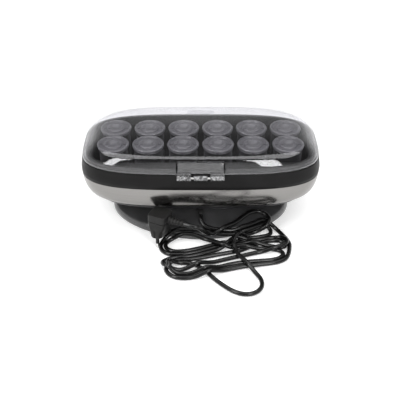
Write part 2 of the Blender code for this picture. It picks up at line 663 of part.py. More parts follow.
def make_cord():
    tube("cord_from_gland", smooth_route(CORD_FROM_GLAND, CORD_POINT_STEP), CORD_R, CORD)
    tube("cord_to_plug", smooth_route(CORD_TO_PLUG, CORD_POINT_STEP), CORD_R, CORD)
    slab("cord_hank", hank_outline(), HANK_HEIGHT, (0.0, 0.0, HANK_HEIGHT / 2.0 + 0.0001), CORD)


def contour_outline(half_x, half_y):
    """The two-pin plug's contour: a long oval with flat sides."""
    return [(point.x, point.y) for point in oval(half_x, half_y, 2.8, 0.0, 24)]


def make_plug():
    body = as_mesh_object(slab("plug_body", contour_outline(NOSE_HALF_X, NOSE_HALF_Y), NOSE_HEIGHT,
                               (0.0, 0.0, PLUG_FACE + NOSE_HEIGHT / 2.0), RUBBER, PLUG_PIVOT))
    back = box("plug_back", BACK_SIZE, (0.0, 0.0, PLUG_FACE + BACK_LIFT), None, parent=PLUG_PIVOT)
    relief = lathe("plug_relief", [(0.0, RELIEF_END), (RELIEF_TIP_R, RELIEF_END),
                                   (RELIEF_ROOT_R, 0.010), (0.0, 0.010)], 12, None, parent=PLUG_PIVOT)
    relief.rotation_euler = (0.0, math.pi / 2.0, 0.0)
    relief.location = (0.0, 0.0, RELIEF_Z)
    combine(body, [back, as_mesh_object(relief)], "UNION")
    for name, side in (("plug_pin_left", 1.0), ("plug_pin_right", -1.0)):
        pin = lathe(name, [(0.0, PIN_LENGTH), (PIN_R, PIN_LENGTH), (PIN_R, 0.0012),
                           (PIN_R - 0.001, 0.0), (0.0, 0.0)], 12, BRIGHT, parent=PLUG_PIVOT)
        pin.location = (0.0, side * PIN_SPACING / 2.0, 0.0)


clear_scene()
PARTS = new_collection("heated_roller_set")
CUTTERS = new_collection("cutters")

BLACK = material("black_plastic", (0.018, 0.018, 0.019), 0.35)
DARK = material("dark_plastic", (0.030, 0.030, 0.032), 0.30)
GLOSS = material("foot_plastic", (0.085, 0.085, 0.090), 0.18)
GREY = material("cap_plastic", (0.180, 0.180, 0.185), 0.45)
VELVET = material("velvet_flock", (0.012, 0.012, 0.012), 0.95)
CLEAR = material("clear_plastic", (0.80, 0.81, 0.83), 0.05, alpha=0.3)
STEEL = material("brushed_steel", (0.560, 0.550, 0.540), 0.30, 1.0)
BRIGHT = material("bright_steel", (0.700, 0.700, 0.700), 0.22, 1.0)
ALUMINIUM = material("cast_aluminium", (0.620, 0.630, 0.640), 0.45, 1.0)
BRASS = material("brass", (0.700, 0.520, 0.220), 0.30, 1.0)
MICA = material("mica_sheet", (0.520, 0.450, 0.340), 0.60)
IVORY = material("ivory_plastic", (0.800, 0.780, 0.700), 0.50)
LEAD = material("lead_insulation", (0.500, 0.080, 0.050), 0.45)
AMBER = material("amber_lens", (0.850, 0.180, 0.030), 0.10)
RUBBER = material("black_rubber", (0.020, 0.020, 0.020), 0.55)
CORD = material("cord_sheath", (0.014, 0.014, 0.014), 0.35)

LID_PIVOT = add_pivot("lid_pivot", (0.0, HINGE_Y, HINGE_Z))
ROCKER_PIVOT = add_pivot("rocker_pivot", (SWITCH_X, RIM_LOW_B + 0.0006, CONTROL_Z), (ROCKER_TILT, 0.0, 0.0))
PLUG_PIVOT = add_pivot("plug_pivot", (PLUG_X, PLUG_Y, 0.0), (0.0, 0.0, PLUG_TURN))
bpy.context.view_layer.update()

make_rim_frame()
make_steel_band()
make_bottom_cover()
make_foot_shell()
make_foot_underside()
make_roller_tray()
make_heater()
make_electrics()
make_rollers()
make_lid()
make_hinge()
make_finger_lip()
make_controls()
make_gland()
make_cord()
make_plug()
bpy.context.view_layer.update()
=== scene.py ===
"""Looks for the heated roller set: fine meshes, procedural materials, the settled mains cord,
the floor, lights and camera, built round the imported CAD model. Metres, +Z up."""
import math

import bmesh
import bpy
import numpy as np
from mathutils import Matrix, Vector


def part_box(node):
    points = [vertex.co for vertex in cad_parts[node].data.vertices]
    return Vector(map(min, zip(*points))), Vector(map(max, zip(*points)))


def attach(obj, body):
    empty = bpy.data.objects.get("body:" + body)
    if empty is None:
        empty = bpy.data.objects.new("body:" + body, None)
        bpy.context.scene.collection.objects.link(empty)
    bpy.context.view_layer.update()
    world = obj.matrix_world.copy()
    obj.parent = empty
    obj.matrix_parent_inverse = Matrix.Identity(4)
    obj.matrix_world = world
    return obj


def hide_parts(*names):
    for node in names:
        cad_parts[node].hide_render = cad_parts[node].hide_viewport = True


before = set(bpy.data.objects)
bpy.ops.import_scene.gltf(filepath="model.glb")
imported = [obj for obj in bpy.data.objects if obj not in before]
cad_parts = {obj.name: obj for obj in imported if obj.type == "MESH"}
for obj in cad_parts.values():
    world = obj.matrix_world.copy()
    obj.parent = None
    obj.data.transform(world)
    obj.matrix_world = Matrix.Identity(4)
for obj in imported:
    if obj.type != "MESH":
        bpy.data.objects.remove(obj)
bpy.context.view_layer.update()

# ---------------- sizes
RING_POINTS = 176                 # round an oval piece
TURN_POINTS = 56                  # round a turned piece
GAP = 0.0003

RIM_LO, RIM_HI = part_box("rim_frame")
BAND_LO, BAND_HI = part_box("steel_band")
LID_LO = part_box("lid")[0]
TRAY_LO, TRAY_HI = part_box("roller_tray")
COVER_LO, COVER_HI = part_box("bottom_cover")
BEZEL_LO, BEZEL_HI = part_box("switch_bezel")
LENS_LO, LENS_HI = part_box("pilot_lens")
LIP_LO, LIP_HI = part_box("lid_finger_lip")

CORNER = 3.6                      # superellipse power of the body outline
RIM_TOP_A, RIM_TOP_B = 0.1620, 0.0812
RIM_LOW_A, RIM_LOW_B = 0.1640, 0.0822
WALL, DECK_THICK = 0.0024, 0.0027
WELL_A, WELL_B, WELL_CORNER = 0.1475, 0.0520, 6.0
BAND_LOW_A, BAND_LOW_B, BAND_WALL = 0.1500, 0.0730, 0.0012
NECK_A, NECK_B = 0.0740, 0.0430
FOOT_PROFILE = [                  # half length, half width, height: skirt, dome, neck
    (0.1270, 0.0850, 0.0022), (0.1271, 0.0851, 0.0050), (0.1268, 0.0848, 0.0085), (0.1252, 0.0837, 0.0113),
    (0.1222, 0.0812, 0.0138), (0.1120, 0.0730, 0.0178), (0.0990, 0.0620, 0.0236), (0.0870, 0.0520, 0.0310),
    (0.0790, 0.0460, 0.0370), (0.0740, 0.0430, 0.0412),
]
FOOT_WALL, FOOT_CORNER = 0.0024, 1.8
LID_A, LID_B, LID_WALL = 0.1617, 0.0810, 0.0020
LID_PROFILE = [                   # half length, half width, height above the lid's lower edge
    (0.1617, 0.0810, 0.0000), (0.1617, 0.0810, 0.0020), (0.1613, 0.0807, 0.0040), (0.1592, 0.0800, 0.0082),
    (0.1557, 0.0788, 0.0115), (0.1512, 0.0775, 0.0146), (0.1462, 0.0762, 0.0172), (0.1400, 0.0746, 0.0192),
    (0.1345, 0.0727, 0.0204), (0.1255, 0.0680, 0.0215), (0.1050, 0.0550, 0.0223), (0.0800, 0.0400, 0.0229),
    (0.0300, 0.0140, 0.0235),
]
HINGE_Y, HINGE_Z = -0.0858, 0.1035
HINGE_HALF, LEAF_TOP, LEAF_Y, LEAF_THICK = 0.0316, 0.1215, -0.0786, 0.0018
KNUCKLE_R, PIN_R = 0.0034, 0.0012
OUTER_KNUCKLE, CENTRE_KNUCKLE_HALF = (0.0125, 0.0310), 0.0090
POST_HOLE_R = 0.0118
TRAY_FLOOR = 0.0567
CORD_R = 0.0030
GLAND_PLACE, GLAND_TILT = (0.0, -0.0515, 0.0345), math.radians(120.0)
GLAND_FRAME = Matrix.Translation(GLAND_PLACE) @ Matrix.Rotation(GLAND_TILT, 4, "X")
GLAND_REACH, GLAND_ROOT_R, GLAND_TIP_R = 0.0125, 0.0041, 0.0035
PLUG_PLACE, PLUG_TURN = (-0.0543, -0.0905, 0.0), math.radians(-25.0)
PLUG_FACE, PIN_SPACING = 0.0193, 0.0190
RELIEF_Z, RELIEF_END = 0.0445, 0.0350
ROCKER_TILT = math.radians(8.0)
ALONG_X = Matrix.Rotation(math.pi / 2.0, 4, "Y")

# The cord's route before it settles: centre points from the gland to the plug.
CORD_ROUTE = [
    # out of the gland and along the side of the foot
    (0.0, -0.0631, 0.0279), (0.0004, -0.068, 0.025), (0.0025, -0.0735, 0.0218), (0.0075, -0.0785, 0.0196),
    (0.015, -0.0815, 0.0182), (0.024, -0.0826, 0.0164), (0.034, -0.0823, 0.015), (0.045, -0.0805, 0.0148),
    (0.056, -0.0765, 0.0154), (0.066, -0.071, 0.0162), (0.076, -0.065, 0.0166), (0.085, -0.0605, 0.0162),
    (0.093, -0.0585, 0.0125), (0.1005, -0.0595, 0.0068), (0.1068, -0.064, 0.0038), (0.1112, -0.0706, 0.0034),
    (0.1126, -0.0788, 0.0034), (0.115, -0.092, 0.0033),
    # round the right end and out along the front run
    (0.1175, -0.104, 0.0033), (0.118, -0.115, 0.0033), (0.1135, -0.1255, 0.0033), (0.103, -0.1325, 0.0033),
    (0.09, -0.1365, 0.0033), (0.076, -0.1395, 0.0033), (0.055, -0.144, 0.0033), (0.038, -0.1485, 0.004),
    (0.024, -0.1535, 0.008), (0.01, -0.1585, 0.0096), (-0.001, -0.162, 0.007), (-0.012, -0.165, 0.0034),
    (-0.023, -0.1665, 0.0033), (-0.034, -0.1645, 0.0033), (-0.0415, -0.157, 0.0033),
    (-0.0435, -0.147, 0.0033), (-0.039, -0.137, 0.0033), (-0.029, -0.1325, 0.0033),
    # back along the middle
    (-0.017, -0.13, 0.0033), (-0.005, -0.127, 0.0033), (0.008, -0.123, 0.0033), (0.024, -0.1186, 0.0033),
    (0.042, -0.113, 0.0033), (0.058, -0.1065, 0.0033), (0.073, -0.099, 0.0033), (0.087, -0.0915, 0.0034),
    (0.098, -0.087, 0.005), (0.108, -0.086, 0.009), (0.116, -0.091, 0.0096), (0.1155, -0.0995, 0.0096),
    (0.106, -0.104, 0.0094),
    # the inner run and the outer left loop
    (0.091, -0.102, 0.0094), (0.076, -0.0995, 0.0094), (0.062, -0.098, 0.0093), (0.048, -0.0965, 0.006),
    (0.036, -0.0985, 0.0035), (0.024, -0.102, 0.0033), (0.008, -0.108, 0.0033), (-0.009, -0.114, 0.0033),
    (-0.02, -0.1175, 0.0033), (-0.031, -0.1195, 0.0033), (-0.043, -0.1175, 0.0033), (-0.052, -0.1095, 0.0033),
    (-0.0545, -0.0985, 0.0036), (-0.05, -0.0885, 0.007), (-0.041, -0.082, 0.0125), (-0.029, -0.0796, 0.0164),
    (-0.0175, -0.0798, 0.0174), (-0.005, -0.0806, 0.0176), (0.007, -0.082, 0.0168), (0.02, -0.084, 0.0154),
    (0.033, -0.0865, 0.013), (0.048, -0.088, 0.0105), (0.062, -0.0875, 0.0098), (0.075, -0.087, 0.01),
    (0.088, -0.086, 0.011), (0.1, -0.085, 0.013), (0.111, -0.087, 0.015), (0.118, -0.0935, 0.0156),
    (0.117, -0.102, 0.0154), (0.108, -0.1065, 0.0146),
    # down across the hank to the lower left loop
    (0.097, -0.1075, 0.012), (0.086, -0.11, 0.008), (0.073, -0.1155, 0.004), (0.06, -0.12, 0.0033),
    (0.048, -0.1235, 0.0033), (0.024, -0.132, 0.0033), (0.008, -0.138, 0.005), (-0.005, -0.143, 0.008),
    (-0.014, -0.146, 0.009), (-0.025, -0.1495, 0.0086), (-0.036, -0.151, 0.0096), (-0.046, -0.1475, 0.008),
    (-0.0505, -0.1395, 0.0042), (-0.0475, -0.131, 0.0034), (-0.039, -0.1265, 0.0033),
    (-0.029, -0.1252, 0.0033),
    # up across the hank to the upper right fold
    (-0.017, -0.123, 0.0033), (-0.007, -0.12, 0.0034), (0.008, -0.1145, 0.004), (0.024, -0.108, 0.006),
    (0.034, -0.102, 0.009), (0.043, -0.095, 0.01), (0.052, -0.088, 0.009), (0.061, -0.0805, 0.0096),
    (0.071, -0.073, 0.0104), (0.081, -0.067, 0.0084), (0.09, -0.063, 0.0046), (0.0985, -0.0665, 0.0034),
    (0.0985, -0.0755, 0.0034), (0.0895, -0.0805, 0.0036), (0.079, -0.0815, 0.004),
    # back to the inner left loop
    (0.068, -0.083, 0.004), (0.056, -0.0865, 0.004), (0.041, -0.092, 0.009), (0.024, -0.097, 0.0094),
    (0.008, -0.1025, 0.0094), (-0.009, -0.108, 0.008), (-0.02, -0.1115, 0.004), (-0.03, -0.113, 0.0034),
    (-0.041, -0.11, 0.0033), (-0.0475, -0.1025, 0.0035), (-0.047, -0.0935, 0.005), (-0.04, -0.087, 0.009),
    (-0.028, -0.0852, 0.0125), (-0.016, -0.086, 0.013), (-0.004, -0.0875, 0.0128), (0.007, -0.0905, 0.0114),
    (0.016, -0.0955, 0.0116),
    # over the top of the hank and round the right end
    (0.025, -0.101, 0.013), (0.034, -0.105, 0.014), (0.045, -0.1075, 0.012), (0.058, -0.108, 0.0096),
    (0.072, -0.1075, 0.0096), (0.086, -0.107, 0.0096), (0.098, -0.1085, 0.009), (0.1075, -0.112, 0.0046),
    (0.112, -0.1195, 0.0034), (0.1065, -0.1265, 0.0033), (0.094, -0.1298, 0.0033),
    # the inner front run and the last left loop
    (0.079, -0.1315, 0.0033), (0.063, -0.1335, 0.0033), (0.044, -0.1375, 0.0033), (0.03, -0.142, 0.005),
    (0.018, -0.1475, 0.009), (0.008, -0.1515, 0.0096), (-0.004, -0.1547, 0.008), (-0.014, -0.157, 0.004),
    (-0.024, -0.158, 0.0033), (-0.034, -0.1565, 0.005), (-0.043, -0.151, 0.0094), (-0.045, -0.1415, 0.0096),
    (-0.0385, -0.1345, 0.0094), (-0.028, -0.1336, 0.008),
    # out of the hank, round the big front loop and up over it
    (-0.017, -0.1365, 0.0038), (-0.008, -0.1405, 0.0033), (0.0, -0.1455, 0.0033), (0.008, -0.152, 0.0033),
    (0.012, -0.1605, 0.0034), (0.0175, -0.168, 0.0034), (0.0245, -0.175, 0.0034), (0.033, -0.1835, 0.0034),
    (0.0425, -0.1916, 0.0034), (0.0535, -0.1964, 0.0034), (0.065, -0.1955, 0.0034), (0.0745, -0.188, 0.0034),
    (0.0782, -0.1765, 0.0038), (0.0755, -0.165, 0.0085), (0.07, -0.1545, 0.0155), (0.064, -0.1455, 0.0206),
    (0.0575, -0.1365, 0.021), (0.0515, -0.127, 0.021), (0.0465, -0.1165, 0.021), (0.0438, -0.1055, 0.021),
    (0.0445, -0.095, 0.021), (0.049, -0.0855, 0.021), (0.0565, -0.078, 0.022), (0.066, -0.0715, 0.023),
    (0.076, -0.0675, 0.0232), (0.085, -0.0655, 0.0228), (0.092, -0.061, 0.0224), (0.0946, -0.054, 0.0226),
    (0.092, -0.0472, 0.0232), (0.086, -0.0436, 0.0242), (0.078, -0.0444, 0.025),
    # from the small top loop to the plug
    (0.07, -0.049, 0.0252), (0.062, -0.056, 0.0242), (0.054, -0.064, 0.0224), (0.045, -0.0705, 0.0206),
    (0.033, -0.078, 0.0226), (0.0205, -0.0865, 0.027), (0.011, -0.095, 0.0318), (0.0055, -0.103, 0.0366),
    (-0.0005, -0.1088, 0.0408), (-0.0075, -0.1112, 0.0436), (-0.0148, -0.1089, 0.0445),
    (-0.0218, -0.1057, 0.0445),
]

# ---------------- materials
def add_node(tree, kind, values=None, sources=None, **settings):
    """A shader node with its settings, its input values and the links into it."""
    made = tree.nodes.new("ShaderNode" + kind)
    for setting, value in settings.items():
        setattr(made, setting, value)
    for socket, value in (values or {}).items():
        made.inputs[socket].default_value = value
    for socket, source in (sources or {}).items():
        tree.links.new(source, made.inputs[socket])
    return made


def map_range(tree, source, low, high, start=0.35, end=0.65):
    """The source's values from start to end, spread over low to high."""
    limits = {"From Min": start, "From Max": end, "To Min": low, "To Max": high}
    return add_node(tree, "MapRange", limits, {"Value": source}).outputs["Result"]


class Skin:
    """A node material and the wiring that the finishes share."""

    def __init__(self, name, colour, roughness, metallic=0.0):
        self.material = bpy.data.materials.new(name)
        self.material.use_nodes = True
        self.tree = self.material.node_tree
        self.shader = self.tree.nodes["Principled BSDF"]
        self.coords = add_node(self.tree, "TexCoord").outputs["Object"]
        self.colour = colour
        self.height = None
        self.put("Base Color", (*colour, 1.0))
        self.put("Roughness", roughness)
        self.put("Metallic", metallic)

    def put(self, socket, value):
        self.shader.inputs[socket].default_value = value

    def drive(self, socket, source):
        self.tree.links.new(source, self.shader.inputs[socket])

    def noise(self, scale, detail=2.0, stretch=(1.0, 1.0, 1.0)):
        """A noise pattern of that many cells a metre, stretched along the axes."""
        place = add_node(self.tree, "Mapping", {"Scale": stretch}, {"Vector": self.coords}).outputs["Vector"]
        made = add_node(self.tree, "TexNoise", {"Scale": scale, "Detail": detail}, {"Vector": place})
        return made.outputs["Fac"]

    def vary_colour(self, source, low, high):
        """The colour runs between low and high times itself."""
        ends = {socket: (*(min(1.0, value * times) for value in self.colour), 1.0)
                for socket, times in (("A", low), ("B", high))}
        share = map_range(self.tree, source, 0.0, 1.0)
        mix = add_node(self.tree, "Mix", ends, {"Factor": share}, data_type="RGBA")
        self.drive("Base Color", mix.outputs["Result"])

    def vary_roughness(self, source, low, high):
        self.drive("Roughness", map_range(self.tree, source, low, high))

    def bump(self, source, strength, depth):
        sources = {"Height": source}
        if self.height is not None:
            sources["Normal"] = self.height
        made = add_node(self.tree, "Bump", {"Strength": strength, "Distance": depth}, sources)
        self.height = made.outputs["Normal"]
        self.drive("Normal", self.height)


def moulded(name, colour, roughness, grain=2600.0, strength=0.12, depth=0.00003, coat=0.0, shine=0.3):
    """Moulded plastic: fine spark-eroded grain, faint flow marks and uneven gloss."""
    skin = Skin(name, colour, roughness)
    skin.vary_colour(skin.noise(46.0, 3.0), 0.88, 1.12)
    skin.vary_roughness(skin.noise(120.0, 4.0), roughness * 0.88, min(1.0, roughness * 1.14))
    skin.bump(skin.noise(grain, 2.0), strength, depth)
    skin.put("Specular IOR Level", shine)
    if coat > 0.0:
        skin.put("Coat Weight", coat)
        skin.put("Coat Roughness", 0.08)
    return skin.material


def brushed(name, colour, roughness, stretch, scale=260.0, strength=0.16):
    """Brushed metal: long fine scratches along the axis that stretch leaves short."""
    skin = Skin(name, colour, roughness, 1.0)
    scratches = skin.noise(scale, 5.0, stretch)
    skin.vary_colour(scratches, 0.93, 1.05)
    skin.vary_roughness(scratches, roughness * 0.80, roughness * 1.25)
    skin.bump(scratches, strength, 0.00003)
    return skin.material


def cast_metal(name, colour, roughness):
    skin = Skin(name, colour, roughness, 1.0)
    skin.vary_colour(skin.noise(300.0, 4.0), 0.88, 1.08)
    skin.vary_roughness(skin.noise(700.0, 3.0), roughness * 0.8, roughness * 1.2)
    skin.bump(skin.noise(1400.0, 4.0), 0.4, 0.00008)
    return skin.material


def flocked(name, colour):
    """Velvet flock: matt short fibres with a soft sheen at the edges."""
    skin = Skin(name, colour, 0.95)
    fibres = skin.noise(3400.0, 3.0, (1.0, 1.0, 0.6))
    skin.vary_colour(fibres, 0.5, 1.7)
    skin.bump(fibres, 0.9, 0.00035)
    skin.bump(skin.noise(210.0, 2.0), 0.35, 0.0004)
    skin.put("Sheen Weight", 0.35)
    skin.put("Sheen Roughness", 0.45)
    skin.put("Sheen Tint", (0.55, 0.55, 0.58, 1.0))
    skin.put("Specular IOR Level", 0.15)
    return skin.material


def clear_plastic(name, tint):
    """Thin clear plastic: what is behind shows straight through, and gloss grows towards the edges."""
    square_on, grazing = 0.045, 0.92     # the share of gloss
    skin = Skin(name, (0.02, 0.02, 0.022), 0.05)
    tree = skin.tree
    facing = add_node(tree, "LayerWeight", {"Blend": 0.5}).outputs["Facing"]
    gloss_rise, shade_rise = [add_node(tree, "Math", {1: power}, {0: facing}, operation="POWER").outputs[0]
                              for power in (3.6, 8.0)]
    shade = add_node(tree, "Mix", {"A": (*tint, 1.0), "B": (0.45, 0.45, 0.48, 1.0)}, {"Factor": shade_rise},
                     data_type="RGBA")
    through = add_node(tree, "BsdfTransparent", sources={"Color": shade.outputs["Result"]})
    ripple = add_node(tree, "Bump", {"Strength": 0.02, "Distance": 0.0004}, {"Height": skin.noise(38.0, 1.0)})
    gloss = add_node(tree, "BsdfGlossy", {"Color": (0.95, 0.95, 0.96, 1.0)}, {
        "Roughness": map_range(tree, skin.noise(60.0, 3.0), 0.03, 0.06), "Normal": ripple.outputs["Normal"]})
    mix = add_node(tree, "MixShader", sources={
        "Fac": map_range(tree, gloss_rise, square_on, grazing, 0.0, 1.0),
        1: through.outputs["BSDF"], 2: gloss.outputs["BSDF"]})
    tree.nodes.remove(skin.shader)
    tree.links.new(mix.outputs["Shader"], tree.nodes["Material Output"].inputs["Surface"])
    return skin.material


def frosted_plastic(name, colour, scale=240.0, low=0.75, high=1.25):
    """Thick clear plastic that shows grey with bright edges; a wide spread of low to high paints bright
    glints into its colour.
    """
    skin = Skin(name, colour, 0.16)
    # colour noise: a random tone at a narrow spread, painted glints at a wide one
    skin.vary_colour(skin.noise(scale, 3.0), low, high)
    skin.vary_roughness(skin.noise(400.0, 2.0), 0.10, 0.22)
    skin.bump(skin.noise(500.0, 2.0), 0.15, 0.0001)
    skin.put("Coat Weight", 1.0)
    skin.put("Coat Roughness", 0.03)
    skin.put("Alpha", 0.60)
    return skin.material


RIM_BLACK = moulded("rim_black", (0.0066, 0.0064, 0.0065), 0.40, shine=0.11)
WELL_BLACK = moulded("well_black", (0.0060, 0.0060, 0.0064), 0.50, shine=0.18)
UNDER_DARK = moulded("under_dark", (0.012, 0.012, 0.013), 0.38, shine=0.25)
FOOT_GREY = moulded("foot_grey", (0.034, 0.034, 0.035), 0.20, 1700.0, 0.02, coat=0.5, shine=0.5)
CAP_GREY = moulded("cap_grey", (0.128, 0.125, 0.135), 0.31, grain=3000.0, strength=0.04, shine=0.85)
FLOCK = flocked("velvet_black", (0.006, 0.006, 0.0065))
CLEAR = clear_plastic("lid_clear", (0.955, 0.955, 0.965))
CLEAR_THICK = frosted_plastic("hinge_clear", (0.105, 0.105, 0.108))
# the knuckles' colour swings from 0.15 to 3.2 times itself: painted glints of the lights
KNUCKLE_PAINTED_GLINTS = frosted_plastic("knuckle_clear_painted_glints", (0.13, 0.13, 0.133), 260.0, 0.15, 3.2)
STEEL = brushed("steel_brushed", (0.245, 0.239, 0.231), 0.20, (0.02, 0.02, 9.0))
BRIGHT = brushed("steel_bright", (0.72, 0.72, 0.71), 0.20, (1.0, 1.0, 4.0), 500.0, 0.08)
ALUMINIUM = cast_metal("aluminium_cast", (0.62, 0.63, 0.64), 0.42)
BRASS = cast_metal("brass_pressed", (0.70, 0.52, 0.22), 0.30)
MICA = moulded("mica_sheet_flecked", (0.52, 0.45, 0.34), 0.60, grain=500.0, strength=0.5, depth=0.0002)
IVORY = moulded("ivory_moulded", (0.80, 0.78, 0.70), 0.50, shine=0.5)
LEAD = moulded("lead_red", (0.50, 0.08, 0.05), 0.42, shine=0.5)
AMBER = moulded("amber_moulded", (0.85, 0.18, 0.03), 0.12, coat=0.6, shine=0.5)
RUBBER = moulded("rubber_black", (0.010, 0.010, 0.010), 0.50, grain=1900.0, strength=0.2)
PLUG_BLACK = moulded("plug_black", (0.0095, 0.0093, 0.0090), 0.42, grain=1900.0, strength=0.15, shine=0.22)
CORD_BLACK = moulded("cord_black", (0.0040, 0.0040, 0.0040), 0.20, grain=1500.0, strength=0.06, shine=0.35)
MARK_WHITE = moulded("mark_white", (0.62, 0.62, 0.62), 0.50)


# ---------------- mesh helpers
def oval(a, b, power, z, steps=RING_POINTS):
    """A superellipse ring at height z with its points evenly spaced along it."""
    turn = np.linspace(0.0, 2.0 * math.pi, 1441)
    cos, sin = np.cos(turn), np.sin(turn)
    x = a * np.sign(cos) * np.abs(cos) ** (2.0 / power)
    y = b * np.sign(sin) * np.abs(sin) ** (2.0 / power)
    along = np.r_[0.0, np.cumsum(np.hypot(np.diff(x), np.diff(y)))]
    goal = np.linspace(0.0, along[-1], steps, endpoint=False)
    return np.stack([np.interp(goal, along, x), np.interp(goal, along, y), np.full(steps, z)], 1)


def smooth_rows(rows, cuts):
    """More rows between the given ones, on a curve through them all (Catmull-Rom)."""
    knots = np.array([rows[0], *rows, rows[-1]], float)
    made = []
    for before, start, end, after in zip(knots, knots[1:], knots[2:], knots[3:]):
        for step in range(cuts):
            t = step / cuts
            made.append(0.5 * (2 * start + (end - before) * t
                               + (2 * before - 5 * start + 4 * end - after) * t * t
                               + (3 * start - before - 3 * end + after) * t ** 3))
    made.append(knots[-2])
    return made


def add_object(name, data):
    made = bpy.data.objects.new(name, data)
    bpy.context.scene.collection.objects.link(made)
    return made


def shade_smooth(data, sharp):
    for face in data.polygons:
        face.use_smooth = True
    data.set_sharp_from_angle(angle=math.radians(sharp))


def finish_mesh(mesh, name, skin, sharp=38.0):
    """A smooth-shaded object from a bmesh, with its hard edges kept."""
    bmesh.ops.recalc_face_normals(mesh, faces=mesh.faces)
    data = bpy.data.meshes.new(name)
    mesh.to_mesh(data)
    mesh.free()
    data.materials.append(skin)
    shade_smooth(data, sharp)
    return add_object(name, data)


def join_rows(mesh, rows, closed):
    """Faces from each ring of points to the next, and from the last to the first where closed."""
    pairs = list(zip(rows, rows[1:]))
    if closed:
        pairs.append((rows[-1], rows[0]))
    for low, high in pairs:
        for step in range(len(low)):
            after = (step + 1) % len(low)
            mesh.faces.new((low[step], high[step], high[after], low[after]))


def loft(name, rings, skin, hollow=False, sharp=38.0):
    """A skin over rings of points: capped at both ends, or closed on itself where hollow."""
    mesh = bmesh.new()
    rows = [[mesh.verts.new(point) for point in ring] for ring in rings]
    if not hollow:
        mesh.faces.new(rows[0])
        mesh.faces.new(rows[-1][::-1])
    join_rows(mesh, rows, hollow)
    return finish_mesh(mesh, name, skin, sharp)


def turned_into(mesh, profile, steps=TURN_POINTS, place=Matrix.Identity(4)):
    """A turned solid about Z through (radius, z) points. A zero radius at an end closes it there."""
    ends = profile[0][0] <= 0.0 and profile[-1][0] <= 0.0
    inner = profile[1:-1] if ends else profile
    angles = np.linspace(0.0, 2.0 * math.pi, steps, endpoint=False)
    rows = [[mesh.verts.new(place @ Vector((r * math.cos(t), r * math.sin(t), z))) for t in angles]
            for r, z in inner]
    if ends:
        for (_, z), row in ((profile[0], rows[0]), (profile[-1], rows[-1])):
            tip = mesh.verts.new(place @ Vector((0.0, 0.0, z)))
            for step in range(steps):
                mesh.faces.new((tip, row[step], row[(step + 1) % steps]))
    join_rows(mesh, rows, not ends)


def turned(name, profile, skin, steps=TURN_POINTS, place=Matrix.Identity(4)):
    mesh = bmesh.new()
    turned_into(mesh, profile, steps, place)
    return finish_mesh(mesh, name, skin)


def block_into(mesh, size, centre, bevel=0.0004, rotation=Matrix.Identity(4)):
    """A block with rounded edges."""
    part = bmesh.new()
    bmesh.ops.create_cube(part, size=1.0)
    bmesh.ops.scale(part, vec=size, verts=part.verts)
    if bevel > 0.0:
        bmesh.ops.bevel(part, geom=list(part.edges), offset=bevel, segments=3, profile=0.5, affect="EDGES")
    bmesh.ops.transform(part, matrix=Matrix.Translation(centre) @ rotation, verts=part.verts)
    data = bpy.data.meshes.new("block")
    part.to_mesh(data)
    part.free()
    mesh.from_mesh(data)
    bpy.data.meshes.remove(data)


def block(name, size, centre, skin, bevel=0.0004, rotation=Matrix.Identity(4)):
    mesh = bmesh.new()
    block_into(mesh, size, centre, bevel, rotation)
    return finish_mesh(mesh, name, skin)


def cut(target, tools, sharp=38.0):
    """Take each tool away from the target, then drop the tools."""
    for tool in tools:
        step = target.modifiers.new("cut", "BOOLEAN")
        step.solver = "EXACT"
        step.object = tool
    bpy.context.view_layer.update()
    graph = bpy.context.evaluated_depsgraph_get()
    data = bpy.data.meshes.new_from_object(target.evaluated_get(graph))
    target.modifiers.clear()
    target.data = data
    shade_smooth(data, sharp)
    for tool in tools:
        bpy.data.objects.remove(tool, do_unlink=True)
    return target


def rod(radius, low, high, place, steps=32):
    """A plain round cutter about the place's Z axis."""
    return turned("cutter", [(0.0, high), (radius, high), (radius, low), (0.0, low)], RIM_BLACK, steps, place)


def settle(piece, body, slot, *nodes):
    """Ride on the body and stand for the nodes; the slot is not used."""
    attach(piece, body)
    if nodes:
        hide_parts(*nodes)


def rounded(a, b, power, z, radius, steps=5):
    """Rings that round the upper corner of the section, from the side onto the face at height z."""
    rings = []
    for step in range(steps + 1):
        turn = step / steps * math.pi / 2.0
        inset = radius * (1.0 - math.cos(turn))
        rings.append(oval(a - inset, b - inset, power, z - (radius - radius * math.sin(turn))))
    return rings


def node_round(node):
    """A round upright node's bottom, top, radius and place."""
    lo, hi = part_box(node)
    return lo.z, hi.z, (hi.x - lo.x) / 2.0, Vector(((lo.x + hi.x) / 2.0, (lo.y + hi.y) / 2.0, 0.0))


